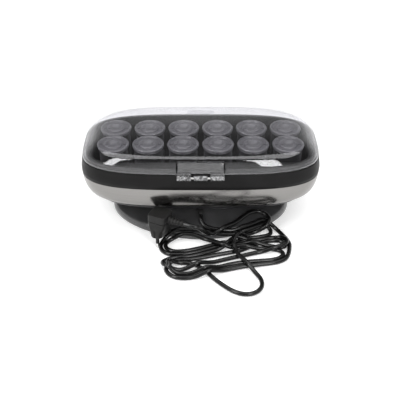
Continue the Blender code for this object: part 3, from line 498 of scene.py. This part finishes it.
# ---------------- casing
def make_rim():
    top, low = RIM_HI.z, RIM_LO.z
    side = [(RIM_LOW_A - 0.0004, RIM_LOW_B - 0.0004, low),
            (RIM_LOW_A + 0.0001, RIM_LOW_B + 0.0001, low + 0.0005),
            (RIM_LOW_A + 0.0004, RIM_LOW_B + 0.0004, low + 0.0060),
            (RIM_LOW_A - 0.0004, RIM_LOW_B, low + 0.0120),
            (RIM_TOP_A + 0.0004, RIM_TOP_B + 0.0004, top - 0.0040)]
    rings = [oval(a, b, CORNER, z) for a, b, z in side]
    rings += rounded(RIM_TOP_A + 0.0002, RIM_TOP_B + 0.0002, CORNER, top, 0.0016)
    deck = top - DECK_THICK
    rings += [oval(a + by, b + by, power, z) for a, b, power, by, z in (
        (RIM_TOP_A, RIM_TOP_B, CORNER, -0.0050, top), (WELL_A, WELL_B, WELL_CORNER, 0.0014, top),
        (WELL_A, WELL_B, WELL_CORNER, 0.0004, top - 0.0004), (WELL_A, WELL_B, WELL_CORNER, 0.0, top - 0.0014),
        (WELL_A, WELL_B, WELL_CORNER, 0.0, deck), (RIM_TOP_A, RIM_TOP_B, CORNER, -WALL, deck),
        (RIM_LOW_A, RIM_LOW_B, CORNER, -WALL, low))]
    rim = loft("rim_shell", rings, RIM_BLACK, hollow=True, sharp=50.0)
    middle = (BEZEL_LO + BEZEL_HI) / 2.0
    size = BEZEL_HI - BEZEL_LO
    window = block("window", (size.x + 2 * GAP, 0.024, size.z + 2 * GAP), (middle.x, RIM_LOW_B, middle.z),
                   RIM_BLACK, 0.0)
    lens = (LENS_LO + LENS_HI) / 2.0
    hole = rod((LENS_HI.x - LENS_LO.x) / 2.0 + GAP, -0.010, 0.010,
               Matrix.Translation((lens.x, RIM_LOW_B, lens.z)) @ Matrix.Rotation(-math.pi / 2.0, 4, "X"))
    cut(rim, [window, hole], sharp=50.0)
    settle(rim, "base", "black_plastic", "rim_frame")


def band_ring(share, inset):
    """The steel band's outline: a quarter turn from the rim down and in to its lower edge."""
    turn = share * math.pi / 2.0
    drop, reach = math.sin(turn), 1.0 - math.cos(turn)
    a = RIM_LOW_A - (RIM_LOW_A - BAND_LOW_A) * reach - inset
    b = RIM_LOW_B - (RIM_LOW_B - BAND_LOW_B) * reach - inset
    return oval(a, b, CORNER - 0.4 * share, BAND_HI.z - (BAND_HI.z - BAND_LO.z) * drop)


def make_band():
    shares = np.linspace(0.0, 1.0, 19)
    rings = [band_ring(0.0, 0.0004)] + [band_ring(share, 0.0) for share in shares]
    rings += [band_ring(share, BAND_WALL) for share in shares[::-1]]
    band = loft("band_shell", rings, STEEL, hollow=True)
    settle(band, "base", "brushed_steel", "steel_band")


def make_cover():
    power = CORNER - 0.4
    under, low, sheet = COVER_HI.z, COVER_LO.z, 0.0018
    a, b = BAND_LOW_A - 0.0004, BAND_LOW_B - 0.0004
    opening = NECK_A - 0.0120, NECK_B - 0.0090, 2.0
    outside = [(a, b, power, under), (a - 0.0006, b - 0.0006, power, under - 0.0022),
               (a - 0.0018, b - 0.0018, power, under - 0.0044), (a - 0.0050, b - 0.0044, power, low + 0.0011),
               (a - 0.0100, b - 0.0075, power, low + 0.0002), (a - 0.0180, b - 0.0110, power, low),
               (0.1050, 0.0520, 2.8, low), (*opening, low)]
    inside = [(*opening, low + sheet), (a - 0.0170, b - 0.0110, power, low + sheet),
              (a - 0.0034, b - 0.0034, power, under - 0.0030), (a - 0.0020, b - 0.0020, power, under)]
    rings = [oval(*row) for row in smooth_rows(outside, 3)] + [oval(*row) for row in inside]
    cover = loft("underside_shell", rings, UNDER_DARK, hollow=True, sharp=50.0)
    settle(cover, "base", "dark_plastic", "bottom_cover")


def make_foot():
    last = len(FOOT_PROFILE) - 1      # the outline is a plain ellipse, power 2, by the neck
    rows = smooth_rows([(*row, FOOT_CORNER + (2.0 - FOOT_CORNER) * index / last)
                        for index, row in enumerate(FOOT_PROFILE)], 4)
    rings = [oval(a, b, power, z) for a, b, z, power in rows]
    rings += [oval(a - FOOT_WALL, b - FOOT_WALL, power, z - (0.0 if z > 0.0400 else FOOT_WALL))
              for a, b, z, power in rows[:6:-1]]
    a, b, low = FOOT_PROFILE[0]
    rings.append(oval(a - 0.0044, b - 0.0044, FOOT_CORNER, low))
    foot = loft("foot_dome", rings, FOOT_GREY, hollow=True)
    cut(foot, [rod(GLAND_ROOT_R + 0.0004, -0.006, 0.020, GLAND_FRAME)])
    settle(foot, "base", "foot_plastic", "foot_shell")


def make_under_foot():
    lo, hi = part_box("foot_base_plate")
    a, b = hi.x + 0.0001, hi.y + 0.0001
    rings = [oval(a - inset, b - inset, FOOT_CORNER, lo.z + rise) for inset, rise in (
        (0.0100, 0.0), (0.0104, 0.0006), (0.0116, 0.0006), (0.0120, 0.0), (0.0005, 0.0), (0.0, 0.0005))]
    rings += rounded(a, b, FOOT_CORNER, hi.z, 0.0005) + [oval(a * 0.5, b * 0.5, FOOT_CORNER, hi.z)]
    plate = loft("foot_floor", rings, UNDER_DARK)
    settle(plate, "base", "black_plastic", "foot_base_plate")
    for number in range(1, 5):
        _, high, radius, place = node_round("rubber_foot_%d" % number)
        pad = turned("pad_%d" % number, [
            (0.0, high), (radius, high), (radius, 0.0009), (radius - 0.0003, 0.0003), (radius - 0.0009, 0.0),
            (radius - 0.0022, 0.0), (radius - 0.0025, 0.0005), (radius - 0.0032, 0.0005),
            (radius - 0.0035, 0.0), (0.0, 0.0)], RUBBER, 40, Matrix.Translation(place))
        settle(pad, "base", "black_rubber", "rubber_foot_%d" % number)
        low, high, radius, place = node_round("base_screw_%d" % number)
        screw = turned("screw_%d" % number, [
            (0.0, high), (radius, high), (radius, low + 0.0010), (radius - 0.0004, low + 0.0004),
            (radius - 0.0012, low), (0.0, low)], BRIGHT, 32, Matrix.Translation(place))
        turn = Matrix.Rotation(math.radians(23.0 * number), 4, "Z")
        cut(screw, [block("slot", size, (place.x, place.y, low), BRIGHT, 0.0, turn)
                    for size in ((0.0042, 0.0008, 0.0012), (0.0008, 0.0042, 0.0012))])
        settle(screw, "base", "bright_steel", "base_screw_%d" % number)


# ---------------- well and rollers
def make_tray():
    lip = TRAY_HI.z
    rings = [oval(WELL_A + by, WELL_B + by, WELL_CORNER, z) for by, z in (
        (WALL - 0.003, TRAY_LO.z), (WALL, TRAY_FLOOR + 0.003), (WALL, lip - WALL), (0.0062, lip - WALL),
        (0.0064, lip), (0.0, lip))]
    corner, steps = 0.005, 6
    for step in range(steps + 1):
        turn = step / steps * math.pi / 2.0
        inset, drop = corner * (1.0 - math.cos(turn)), corner * math.sin(turn)
        rings.append(oval(WELL_A - inset, WELL_B - inset, WELL_CORNER, TRAY_FLOOR + corner - drop))
    tray = loft("well_shell", rings, WELL_BLACK)
    cut(tray, [rod(POST_HOLE_R, -0.006, 0.006, Matrix.Translation(node_round("roller_cap_%02d" % number)[3])
                   @ Matrix.Translation((0.0, 0.0, TRAY_FLOOR))) for number in range(1, 13)])
    settle(tray, "base", "black_plastic", "roller_tray")


def make_rollers():
    """One cap and one flocked barrel, shared by the twelve rollers."""
    under, top, radius, _ = node_round("roller_cap_01")
    bowl, ring, dish, rise = 0.0078, 0.0128, 0.0034, 0.0022
    profile = [(bowl * share, top - dish + rise * share ** 2.4) for share in np.linspace(0.0, 1.0, 7)]
    profile += [
        (bowl + 0.0004, top - 0.0006), (bowl + 0.0011, top - 0.0001), (bowl + 0.0019, top),
        (ring - 0.0011, top - 0.0003), (ring - 0.0003, top - 0.0010), (ring, top - 0.0024),
        (radius - 0.0040, top - 0.0025), (radius - 0.0032, top - 0.0014), (radius - 0.0025, top - 0.0005),
        (radius - 0.0016, top - 0.0002), (radius - 0.0008, top - 0.0006), (radius - 0.0002, top - 0.0013),
        (radius, top - 0.0021), (radius - 0.0002, top - 0.0027), (radius - 0.0026, top - 0.0030),
        (radius - 0.0026, top - 0.0041), (radius - 0.0012, top - 0.0043), (radius - 0.0010, under + 0.0004),
        (radius - 0.0014, under), (0.0, under)]
    cap = turned("cap_01", profile, CAP_GREY, 64)
    cut(cap, [block("slot", (0.0044, 0.0016, 0.0040), (side * (ring + 0.0028), 0.0, top - 0.0020),
                    CAP_GREY, 0.0) for side in (-1.0, 1.0)])
    low, high, outer, _ = node_round("roller_barrel_01")
    bore, round_off, ripple, rows = 0.0128, 0.0006, 0.00012, 40
    profile = [(bore, high), (outer - round_off, high), (outer, high - round_off)]
    profile += [(outer - ripple * (row % 2), high + (low - high) * row / rows) for row in range(1, rows)]
    profile += [(outer, low + round_off), (outer - round_off, low), (bore, low)]
    barrel = turned("barrel_01", profile, FLOCK, 72)
    for number in range(1, 13):
        place = node_round("roller_cap_%02d" % number)[3]
        for first, kind, slot in ((cap, "cap", "cap_plastic"), (barrel, "barrel", "velvet_flock")):
            piece = first if number == 1 else add_object("%s_%02d" % (kind, number), first.data)
            piece.location = place
            settle(piece, "roller_%02d" % number, slot, "roller_%s_%02d" % (kind, number))


# ---------------- lid and hinge
def make_lid():
    base = LID_LO.z
    rows = smooth_rows(LID_PROFILE, 4)
    outside = [oval(a, b, CORNER, base + z) for a, b, z in rows]
    rim = [oval(LID_A - 0.0004, LID_B - 0.0004, CORNER, base - 0.0001)]
    inside = [oval(LID_A - LID_WALL, LID_B - LID_WALL, CORNER, base)]
    inside += [oval(a - LID_WALL, b - LID_WALL, CORNER, base + z - LID_WALL * 0.8 * min(1.0, z / 0.004))
               for a, b, z in rows[1:]]
    lid = loft("lid_shell", inside[::-1] + rim + outside, CLEAR, sharp=60.0)
    edge = loft("lid_edge", [oval(LID_A - inset, LID_B - inset, CORNER, base + z) for inset, z in (
        (0.0004, 0.0002), (0.0004, 0.0013), (LID_WALL - 0.0003, 0.0013), (LID_WALL - 0.0003, 0.0002))],
        CLEAR_THICK, hollow=True)
    below = 0.010
    for piece, nodes in ((lid, ["lid"]), (edge, [])):
        notch = block("notch", (2 * (HINGE_HALF + GAP), 0.020, LEAF_TOP + GAP - base + below),
                      (0.0, -0.0790, (LEAF_TOP + GAP + base - below) / 2.0), CLEAR, 0.0)
        cut(piece, [notch], sharp=60.0)
        settle(piece, "lid", "clear_plastic", *nodes)


def knuckle_into(mesh, middle, half):
    """A hollow hinge knuckle about the hinge's axis."""
    bore, bevel = 0.0016, 0.0004
    place = Matrix.Translation((middle, HINGE_Y, HINGE_Z)) @ ALONG_X
    turned_into(mesh, [(bore, half), (KNUCKLE_R - bevel, half), (KNUCKLE_R, half - bevel),
                       (KNUCKLE_R, bevel - half), (KNUCKLE_R - bevel, -half), (bore, -half)], 40, place)


def make_hinge():
    low = LID_LO.z + 0.0012
    lean = math.atan2(0.0740 - LID_B, 0.1262 - LID_LO.z)
    near, far = OUTER_KNUCKLE
    leaf, knuckles, bracket = bmesh.new(), bmesh.new(), bmesh.new()
    block_into(leaf, (2 * HINGE_HALF - 0.0034, LEAF_THICK, LEAF_TOP - low),
               (0.0, LEAF_Y, (LEAF_TOP + low) / 2.0), 0.0005, Matrix.Rotation(lean, 4, "X"))
    for side in (-1.0, 1.0):
        middle = side * (near + far) / 2.0
        block_into(leaf, (far - near, 0.0068, 0.0030), (middle, HINGE_Y + 0.0040, HINGE_Z + 0.0046), 0.0006)
        knuckle_into(knuckles, middle, (far - near) / 2.0)
    knuckle_into(bracket, 0.0, CENTRE_KNUCKLE_HALF)
    for mesh, name, skin, body, nodes in (
            (leaf, "hinge_leaf_clear", CLEAR_THICK, "lid", ["hinge_leaf"]),
            (knuckles, "hinge_leaf_knuckles", KNUCKLE_PAINTED_GLINTS, "lid", []),
            (bracket, "hinge_bracket_knuckle", KNUCKLE_PAINTED_GLINTS, "base", ["hinge_bracket"])):
        settle(finish_mesh(mesh, name, skin), body, "clear_plastic", *nodes)
    foot = block("hinge_bracket_foot", (2 * CENTRE_KNUCKLE_HALF, 0.0028, 0.0073),
                 (0.0, HINGE_Y + 0.0020, HINGE_Z - 0.0042), RIM_BLACK, 0.0005)
    settle(foot, "base", "black_plastic")
    bevel = 0.0003
    pin = turned("hinge_pin_rod", [
        (0.0, far), (PIN_R - bevel, far), (PIN_R, far - bevel), (PIN_R, bevel - far), (PIN_R - bevel, -far),
        (0.0, -far)], BRIGHT, 32, Matrix.Translation((0.0, HINGE_Y, HINGE_Z)) @ ALONG_X)
    settle(pin, "base", "bright_steel", "hinge_pin")


def make_lip():
    """A flat tongue on the lid's front edge, round along its sides."""
    size, middle = LIP_HI - LIP_LO, (LIP_LO + LIP_HI) / 2.0
    rings, steps = [], 6
    for step in range(steps + 1):
        turn = (step / steps - 0.5) * math.pi
        inset = 0.0011 * (1.0 - math.cos(turn))
        height = middle.z + size.z / 2.0 * math.sin(turn)
        rings.append(oval(size.x / 2.0 - inset, size.y / 2.0 - inset, 5.0, height, 64)
                     + np.array([middle.x, middle.y, 0.0]))
    settle(loft("finger_lip_clear", rings, CLEAR), "lid", "clear_plastic", "lid_finger_lip")


# ---------------- controls
def make_controls():
    size, middle = BEZEL_HI - BEZEL_LO, (BEZEL_LO + BEZEL_HI) / 2.0
    bezel = block("bezel_frame", tuple(size), tuple(middle), UNDER_DARK, 0.0007)
    rocker_lo, rocker_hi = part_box("switch_rocker")
    rocker_size = rocker_hi - rocker_lo
    cut(bezel, [block("pocket", (rocker_size.x + 0.0010, 0.0160, 0.0082), (middle.x, BEZEL_HI.y, middle.z),
                      UNDER_DARK, 0.0)])
    settle(bezel, "base", "black_plastic", "switch_bezel")
    face = RIM_LOW_B + 0.0006
    pivot = Matrix.Translation((middle.x, face, middle.z)) @ Matrix.Rotation(ROCKER_TILT, 4, "X")
    half, tall, deep, dip, back, bevel = rocker_size.x / 2.0, 0.0033, 0.0017, 0.0016, -0.0033, 0.0003
    rows = [(-tall, deep - bevel), (-tall + 0.0004, deep), (-dip, deep - 0.0005), (0.0, deep - 0.0009),
            (dip, deep - 0.0005), (tall - 0.0004, deep), (tall, deep - bevel), (tall, back), (-tall, back)]
    mesh = bmesh.new()
    columns = [[mesh.verts.new((x, y - (inset if y > 0.0 else 0.0), z)) for z, y in rows]
               for x, inset in ((-half, bevel), (bevel - half, 0.0), (half - bevel, 0.0), (half, bevel))]
    join_rows(mesh, columns, False)
    mesh.faces.new(columns[0])
    mesh.faces.new(columns[-1][::-1])
    bmesh.ops.transform(mesh, matrix=pivot, verts=mesh.verts)
    settle(finish_mesh(mesh, "rocker_cap", RIM_BLACK), "rocker", "dark_plastic", "switch_rocker")
    bar = block("rocker_mark_on", (0.0004, 0.0002, 0.0016), (0.0, 0.0, 0.0), MARK_WHITE, 0.0)
    bar.matrix_world = pivot @ Matrix.Translation((0.0, deep - 0.0001, 0.0020))
    settle(bar, "rocker", "ivory_plastic")
    place = pivot @ Matrix.Translation((0.0, deep - 0.0001, -0.0020)) @ Matrix.Rotation(math.pi / 2.0, 4, "X")
    ring = turned("rocker_mark_off", [
        (0.0008, 0.0001), (0.0005, 0.0001), (0.0005, -0.0001), (0.0008, -0.0001)], MARK_WHITE, 28, place)
    settle(ring, "rocker", "ivory_plastic")
    lamp = (LENS_LO + LENS_HI) / 2.0
    radius, collar, crown, back = (LENS_HI.x - LENS_LO.x) / 2.0, 0.0002, 0.0016, -0.006
    dome = [(0.0, collar + crown)] + [(radius * math.sin(t), collar + crown * math.cos(t))
                                      for t in np.linspace(0.15, math.pi / 2.0, 9)]
    lens = turned("lamp_lens", dome + [(radius, back), (0.0, back)], AMBER, 40,
                  Matrix.Translation((lamp.x, face, lamp.z)) @ Matrix.Rotation(-math.pi / 2.0, 4, "X"))
    settle(lens, "base", "amber_lens", "pilot_lens")


# ---------------- mains cord
def catmull(points, spacing):
    """Evenly spaced points along the curve through the route's own points."""
    fine = np.array(smooth_rows([2 * np.array(points[0]) - np.array(points[1]), *points], 24)[24:])
    along = np.r_[0.0, np.cumsum(np.linalg.norm(np.diff(fine, axis=0), axis=1))]
    count = int(round(along[-1] / spacing))
    goal = np.linspace(0.0, along[-1], count + 1)
    return np.stack([np.interp(goal, along, fine[:, axis]) for axis in range(3)], 1)


def foot_height(points):
    """How high the cord's centre has to be to lie on the foot at each point, and 0 beside it."""
    rows = np.array(FOOT_PROFILE)
    side, rise, power, levels = 0.0026, 0.0016, 1.9, 50     # the cord's reach beside and above the foot
    lift = np.zeros(len(points))
    for level in np.linspace(0.0022, 0.0410, levels):
        a, b = [np.interp(level, rows[:, 2], rows[:, axis]) + side for axis in (0, 1)]
        over = (np.abs(points[:, 0]) / a) ** power + (np.abs(points[:, 1]) / b) ** power < 1.0
        lift = np.where(over, level + rise, lift)
    return lift


def bend_less(points, share, stride):
    """Take out part of the change of curvature: what a stiff cord does by itself."""
    made = points.copy()
    k = stride
    fourth = (-points[:-4 * k] + 4 * points[k:-3 * k] - 6 * points[2 * k:-2 * k] + 4 * points[3 * k:-k]
              - points[4 * k:])
    made[2 * k:-2 * k] += share * fourth / 8.0
    return made


def near_pairs(points, reach, skip):
    """Pairs of points closer than reach, more than skip places apart along the cord."""
    square = (points ** 2).sum(1)
    apart = square[:, None] + square[None, :] - 2.0 * points @ points.T
    first, second = np.where(apart < reach ** 2)
    keep = second - first > skip
    return first[keep], second[keep]


def push_apart(points, first, second, clear):
    """Move points of crossing runs part of the way to where they only touch."""
    gap = points[second] - points[first]
    far = np.sqrt((gap ** 2).sum(1)) + 1e-9
    short = np.clip(clear - far, 0.0, None) * 0.5
    push = gap / far[:, None] * short[:, None] * 0.6
    total, hits = np.zeros_like(points), np.zeros(len(points))
    for ends, sign in ((second, 1.0), (first, -1.0)):
        np.add.at(total, ends, sign * push)
        np.add.at(hits, ends, short > 0.0)
    points += total / np.maximum(hits, 1.0)[:, None] * 1.5


def keep_length(points, rest):
    """Pull neighbours back to their distance along the cord."""
    step = points[1:] - points[:-1]
    size = np.sqrt((step ** 2).sum(1))
    pull = (step / size[:, None]) * (size - rest)[:, None] * 0.4
    points[:-1] += pull
    points[1:] -= pull


def lay_cord(route, rounds):
    """Let the cord fall from its route: it keeps its length, bends gently and rests on the floor,
    the foot and itself."""
    spacing, reach, skip, refresh = 0.0025, 0.0105, 6, 12
    fast_fall, slow_fall, slow_from, home_pull = 0.00016, 0.00004, 0.8, 0.02
    floor, clear = CORD_R + 0.00015, 2.0 * CORD_R + 0.00012
    home = catmull(route, spacing)
    points = home.copy()
    rest = np.linalg.norm(np.diff(home, axis=0), axis=1).mean()
    held = np.zeros(len(points), bool)
    held[:4] = held[-9:] = True     # in the gland and in the plug's relief
    for turn in range(rounds):
        if turn % refresh == 0:
            first, second = near_pairs(points, reach, skip)
        points[:, 2] -= fast_fall if turn < rounds * slow_from else slow_fall
        points[:, :2] += (home[:, :2] - points[:, :2]) * home_pull
        for share, stride in ((0.5, 1), (0.5, 1), (0.22, 3)):
            points = bend_less(points, share, stride)
        for _ in range(4):
            push_apart(points, first, second, clear)
            keep_length(points, rest)
            points[:, 2] = np.maximum(points[:, 2], np.maximum(floor, foot_height(points)))
            points[held] = home[held]
    return points


def make_cord():
    points = lay_cord(CORD_ROUTE, 420)
    curve = bpy.data.curves.new("mains_cord", "CURVE")
    curve.dimensions = "3D"
    curve.bevel_depth = CORD_R
    curve.bevel_resolution = 5
    curve.use_fill_caps = True
    curve.materials.append(CORD_BLACK)
    spline = curve.splines.new("POLY")
    spline.points.add(len(points) - 1)
    spline.points.foreach_set("co", np.c_[points, np.ones(len(points))].ravel())
    spline.use_smooth = True
    cord = add_object("mains_cord", curve)
    settle(cord, "base", "cord_sheath", "cord_from_gland", "cord_hank", "cord_to_plug")
    return cord, float(np.linalg.norm(np.diff(points, axis=0), axis=1).sum())


def make_gland():
    """The strain relief in the foot: a collar, a tapered sleeve and its ribs."""
    profile = [(0.0, GLAND_REACH), (GLAND_TIP_R - 0.0003, GLAND_REACH), (GLAND_TIP_R, GLAND_REACH - 0.0004)]
    ribs, pitch, groove = 5, 0.0022, 0.0007
    for rib in range(ribs):
        top = GLAND_REACH - 0.0010 - rib * pitch
        radius = GLAND_TIP_R + (GLAND_ROOT_R - GLAND_TIP_R) * (rib + 1) / ribs
        profile += [(radius, top), (radius, top - 0.0010), (radius - groove, top - 0.0013),
                    (radius - groove, top - 0.0019)]
    profile += [(GLAND_ROOT_R, 0.0), (GLAND_ROOT_R, -0.0060), (0.0034, -0.0064), (0.0032, -0.0120),
                (0.0, -0.0120)]
    sleeve = turned("cord_gland_sleeve", profile, RUBBER, 40, GLAND_FRAME)
    settle(sleeve, "base", "black_rubber", "cord_gland")


def make_plug():
    """Moulded two-pin plug: contoured nose, square back and ribbed relief."""
    place = Matrix.Translation(PLUG_PLACE) @ Matrix.Rotation(PLUG_TURN, 4, "Z")
    rows = [              # half thickness, half width, outline power, height above the face
        (0.0076, 0.0150, 2.8, 0.0), (0.0086, 0.0160, 2.8, 0.0003), (0.0094, 0.0167, 2.8, 0.0012),
        (0.0101, 0.0171, 2.9, 0.0050), (0.0108, 0.0170, 3.1, 0.0090), (0.0116, 0.0163, 3.6, 0.0122),
        (0.0123, 0.0150, 4.6, 0.0150), (0.0128, 0.0138, 6.0, 0.0178), (0.0131, 0.0131, 7.0, 0.0210),
        (0.0132, 0.0129, 7.0, 0.0250), (0.0131, 0.0126, 7.0, 0.0312), (0.0129, 0.0124, 7.0, 0.0326),
        (0.0121, 0.0116, 6.5, 0.0334), (0.0085, 0.0080, 5.0, 0.0337)]
    rings = [oval(a, b, power, PLUG_FACE + z, 96) for a, b, power, z in smooth_rows(rows, 3)]
    body = loft("plug_shell", rings, PLUG_BLACK, sharp=50.0)
    cut(body, [block("groove", (0.0026, 0.0034, 0.0140), (0.0, side * 0.0174, PLUG_FACE + 0.0070), PLUG_BLACK,
                     0.0009) for side in (-1.0, 1.0)], sharp=50.0)
    seam = block("seam", (0.0320, 0.0320, 0.0008), (0.0, 0.0, PLUG_FACE + 0.0228), PLUG_BLACK, 0.0)
    core = loft("core", [oval(0.0123, 0.0120, 7.0, PLUG_FACE + z, 96) for z in (0.0200, 0.0270)], PLUG_BLACK)
    cut(body, [cut(seam, [core])], sharp=50.0)
    body.matrix_world = place
    settle(body, "base", "black_rubber", "plug_body")
    profile = [(0.0, RELIEF_END + 0.0002), (0.0031, RELIEF_END + 0.0002), (0.0034, RELIEF_END - 0.0003)]
    ribs, reach, tip_r, widening, groove = 5, RELIEF_END - 0.0125, 0.0036, 0.0018, 0.0010
    for rib in range(ribs):
        top = RELIEF_END - 0.0008 - reach * rib / ribs
        radius = tip_r + widening * (rib + 0.5) / ribs
        profile += [(radius - 0.0002, top), (radius, top - 0.0003), (radius, top - 0.0026),
                    (radius - groove, top - 0.0030), (radius - groove, top - 0.0040)]
    profile += [(0.0058, 0.0122), (0.0060, 0.0110), (0.0060, 0.0090), (0.0, 0.0090)]
    relief = turned("plug_relief_ribs", profile, PLUG_BLACK, 40,
                    Matrix.Translation((0.0, 0.0, RELIEF_Z)) @ Matrix.Rotation(math.pi / 2.0, 4, "Y"))
    relief.matrix_world = place
    settle(relief, "base", "black_rubber")
    pins = []
    for side, hand in ((1.0, "left"), (-1.0, "right")):
        pin = turned("pin_" + hand, [
            (0.0, PLUG_FACE + 0.0010), (0.0019, PLUG_FACE + 0.0010), (0.0019, 0.0080), (0.0024, 0.0078),
            (0.0024, 0.0016), (0.0021, 0.0007), (0.0014, 0.0001), (0.0, 0.0)], BRIGHT, 36)
        sleeve = turned("pin_sleeve_" + hand, [
            (0.0020, PLUG_FACE + 0.0005), (0.0024, PLUG_FACE + 0.0005), (0.0024, 0.0084), (0.0020, 0.0082)],
            PLUG_BLACK, 36)
        for piece, slot, nodes in ((pin, "bright_steel", ["plug_pin_" + hand]), (sleeve, "black_rubber", [])):
            piece.matrix_world = place @ Matrix.Translation((0.0, side * PIN_SPACING / 2.0, 0.0))
            settle(piece, "base", slot, *nodes)
            pins.append(piece)
    return [body, relief, *pins]


# ---------------- carried-over nodes
def finish_nodes():
    """The inner CAD nodes keep their shapes and get finished materials."""
    skins = {"heater_plate": ALUMINIUM, "heating_element": MICA, "thermostat": BRIGHT, "thermal_fuse": BRASS,
             "terminal_block": IVORY, "live_lead": LEAD, "neutral_lead": LEAD}
    for node, skin in skins.items():
        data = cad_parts[node].data
        for index in range(len(data.materials)):
            data.materials[index] = skin


# ---------------- stage
def make_floor():
    """A white plane that glows more with distance, so that it runs into the white studio."""
    half, level = 4.0, -0.0002
    data = bpy.data.meshes.new("floor")
    data.from_pydata([(x, y, level) for x, y in ((-half, -half), (half, -half), (half, half), (-half, half))],
                     [], [(0, 1, 2, 3)])
    skin = Skin("floor_white", (0.80, 0.80, 0.80), 0.9)
    skin.put("Specular IOR Level", 0.0)
    skin.put("Emission Color", (1.0, 1.0, 1.0, 1.0))
    reach = add_node(skin.tree, "VectorMath", sources={0: skin.coords}, operation="LENGTH").outputs["Value"]
    skin.drive("Emission Strength", map_range(skin.tree, reach, 0.40, 0.85, 0.5, 2.2))
    data.materials.append(skin.material)
    add_object("floor", data)


def area_light(name, place, size, power):
    """A soft box that faces the set."""
    aim = Vector((0.0, 0.0, 0.05))
    data = bpy.data.lights.new(name, "AREA")
    data.shape = "RECTANGLE"
    data.size, data.size_y = size
    data.energy = power
    made = add_object(name, data)
    made.location = place
    made.rotation_euler = (aim - Vector(place)).to_track_quat("-Z", "Y").to_euler()


def make_lights():
    """A studio that is bright low down and dim above, two soft boxes at the sides and a wide one above."""
    world = bpy.data.worlds.new("studio")
    world.use_nodes = True
    tree = world.node_tree
    way = add_node(tree, "TexCoord").outputs["Generated"]
    rise = add_node(tree, "SeparateXYZ", sources={"Vector": way}).outputs["Z"]
    background = tree.nodes["Background"].inputs
    background["Color"].default_value = (1.0, 1.0, 1.0, 1.0)
    tree.links.new(map_range(tree, rise, 1.00, 0.12, 0.20, 0.52), background["Strength"])
    bpy.context.scene.world = world
    area_light("left_box", (-0.96, -0.91, 0.92), (0.40, 1.10), 12.0)
    area_light("right_box", (0.53, -1.16, 0.86), (0.42, 0.85), 10.0)
    area_light("top_box", (0.0, 0.10, 1.60), (2.4, 1.6), 28.0)


def make_camera():
    """Looks down 35 degrees at the back of the set."""
    data = bpy.data.cameras.new("camera")
    data.lens = 65.7
    data.sensor_width = 36.0
    data.shift_x = -0.0015
    data.clip_start = 0.05
    data.clip_end = 20.0
    camera = add_object("camera", data)
    camera.location = (0.0, -0.8752, 0.6262)
    camera.rotation_euler = (math.radians(54.8), 0.0, 0.0)
    bpy.context.scene.camera = camera


make_camera()
make_lights()
make_floor()
cord, cord_length = make_cord()
make_gland()
plug_pieces = make_plug()
make_rim()
make_band()
make_cover()
make_foot()
make_under_foot()
make_tray()
make_rollers()
make_lid()
make_hinge()
make_lip()
make_controls()
finish_nodes()

bpy.context.scene.view_settings.view_transform = "Standard"
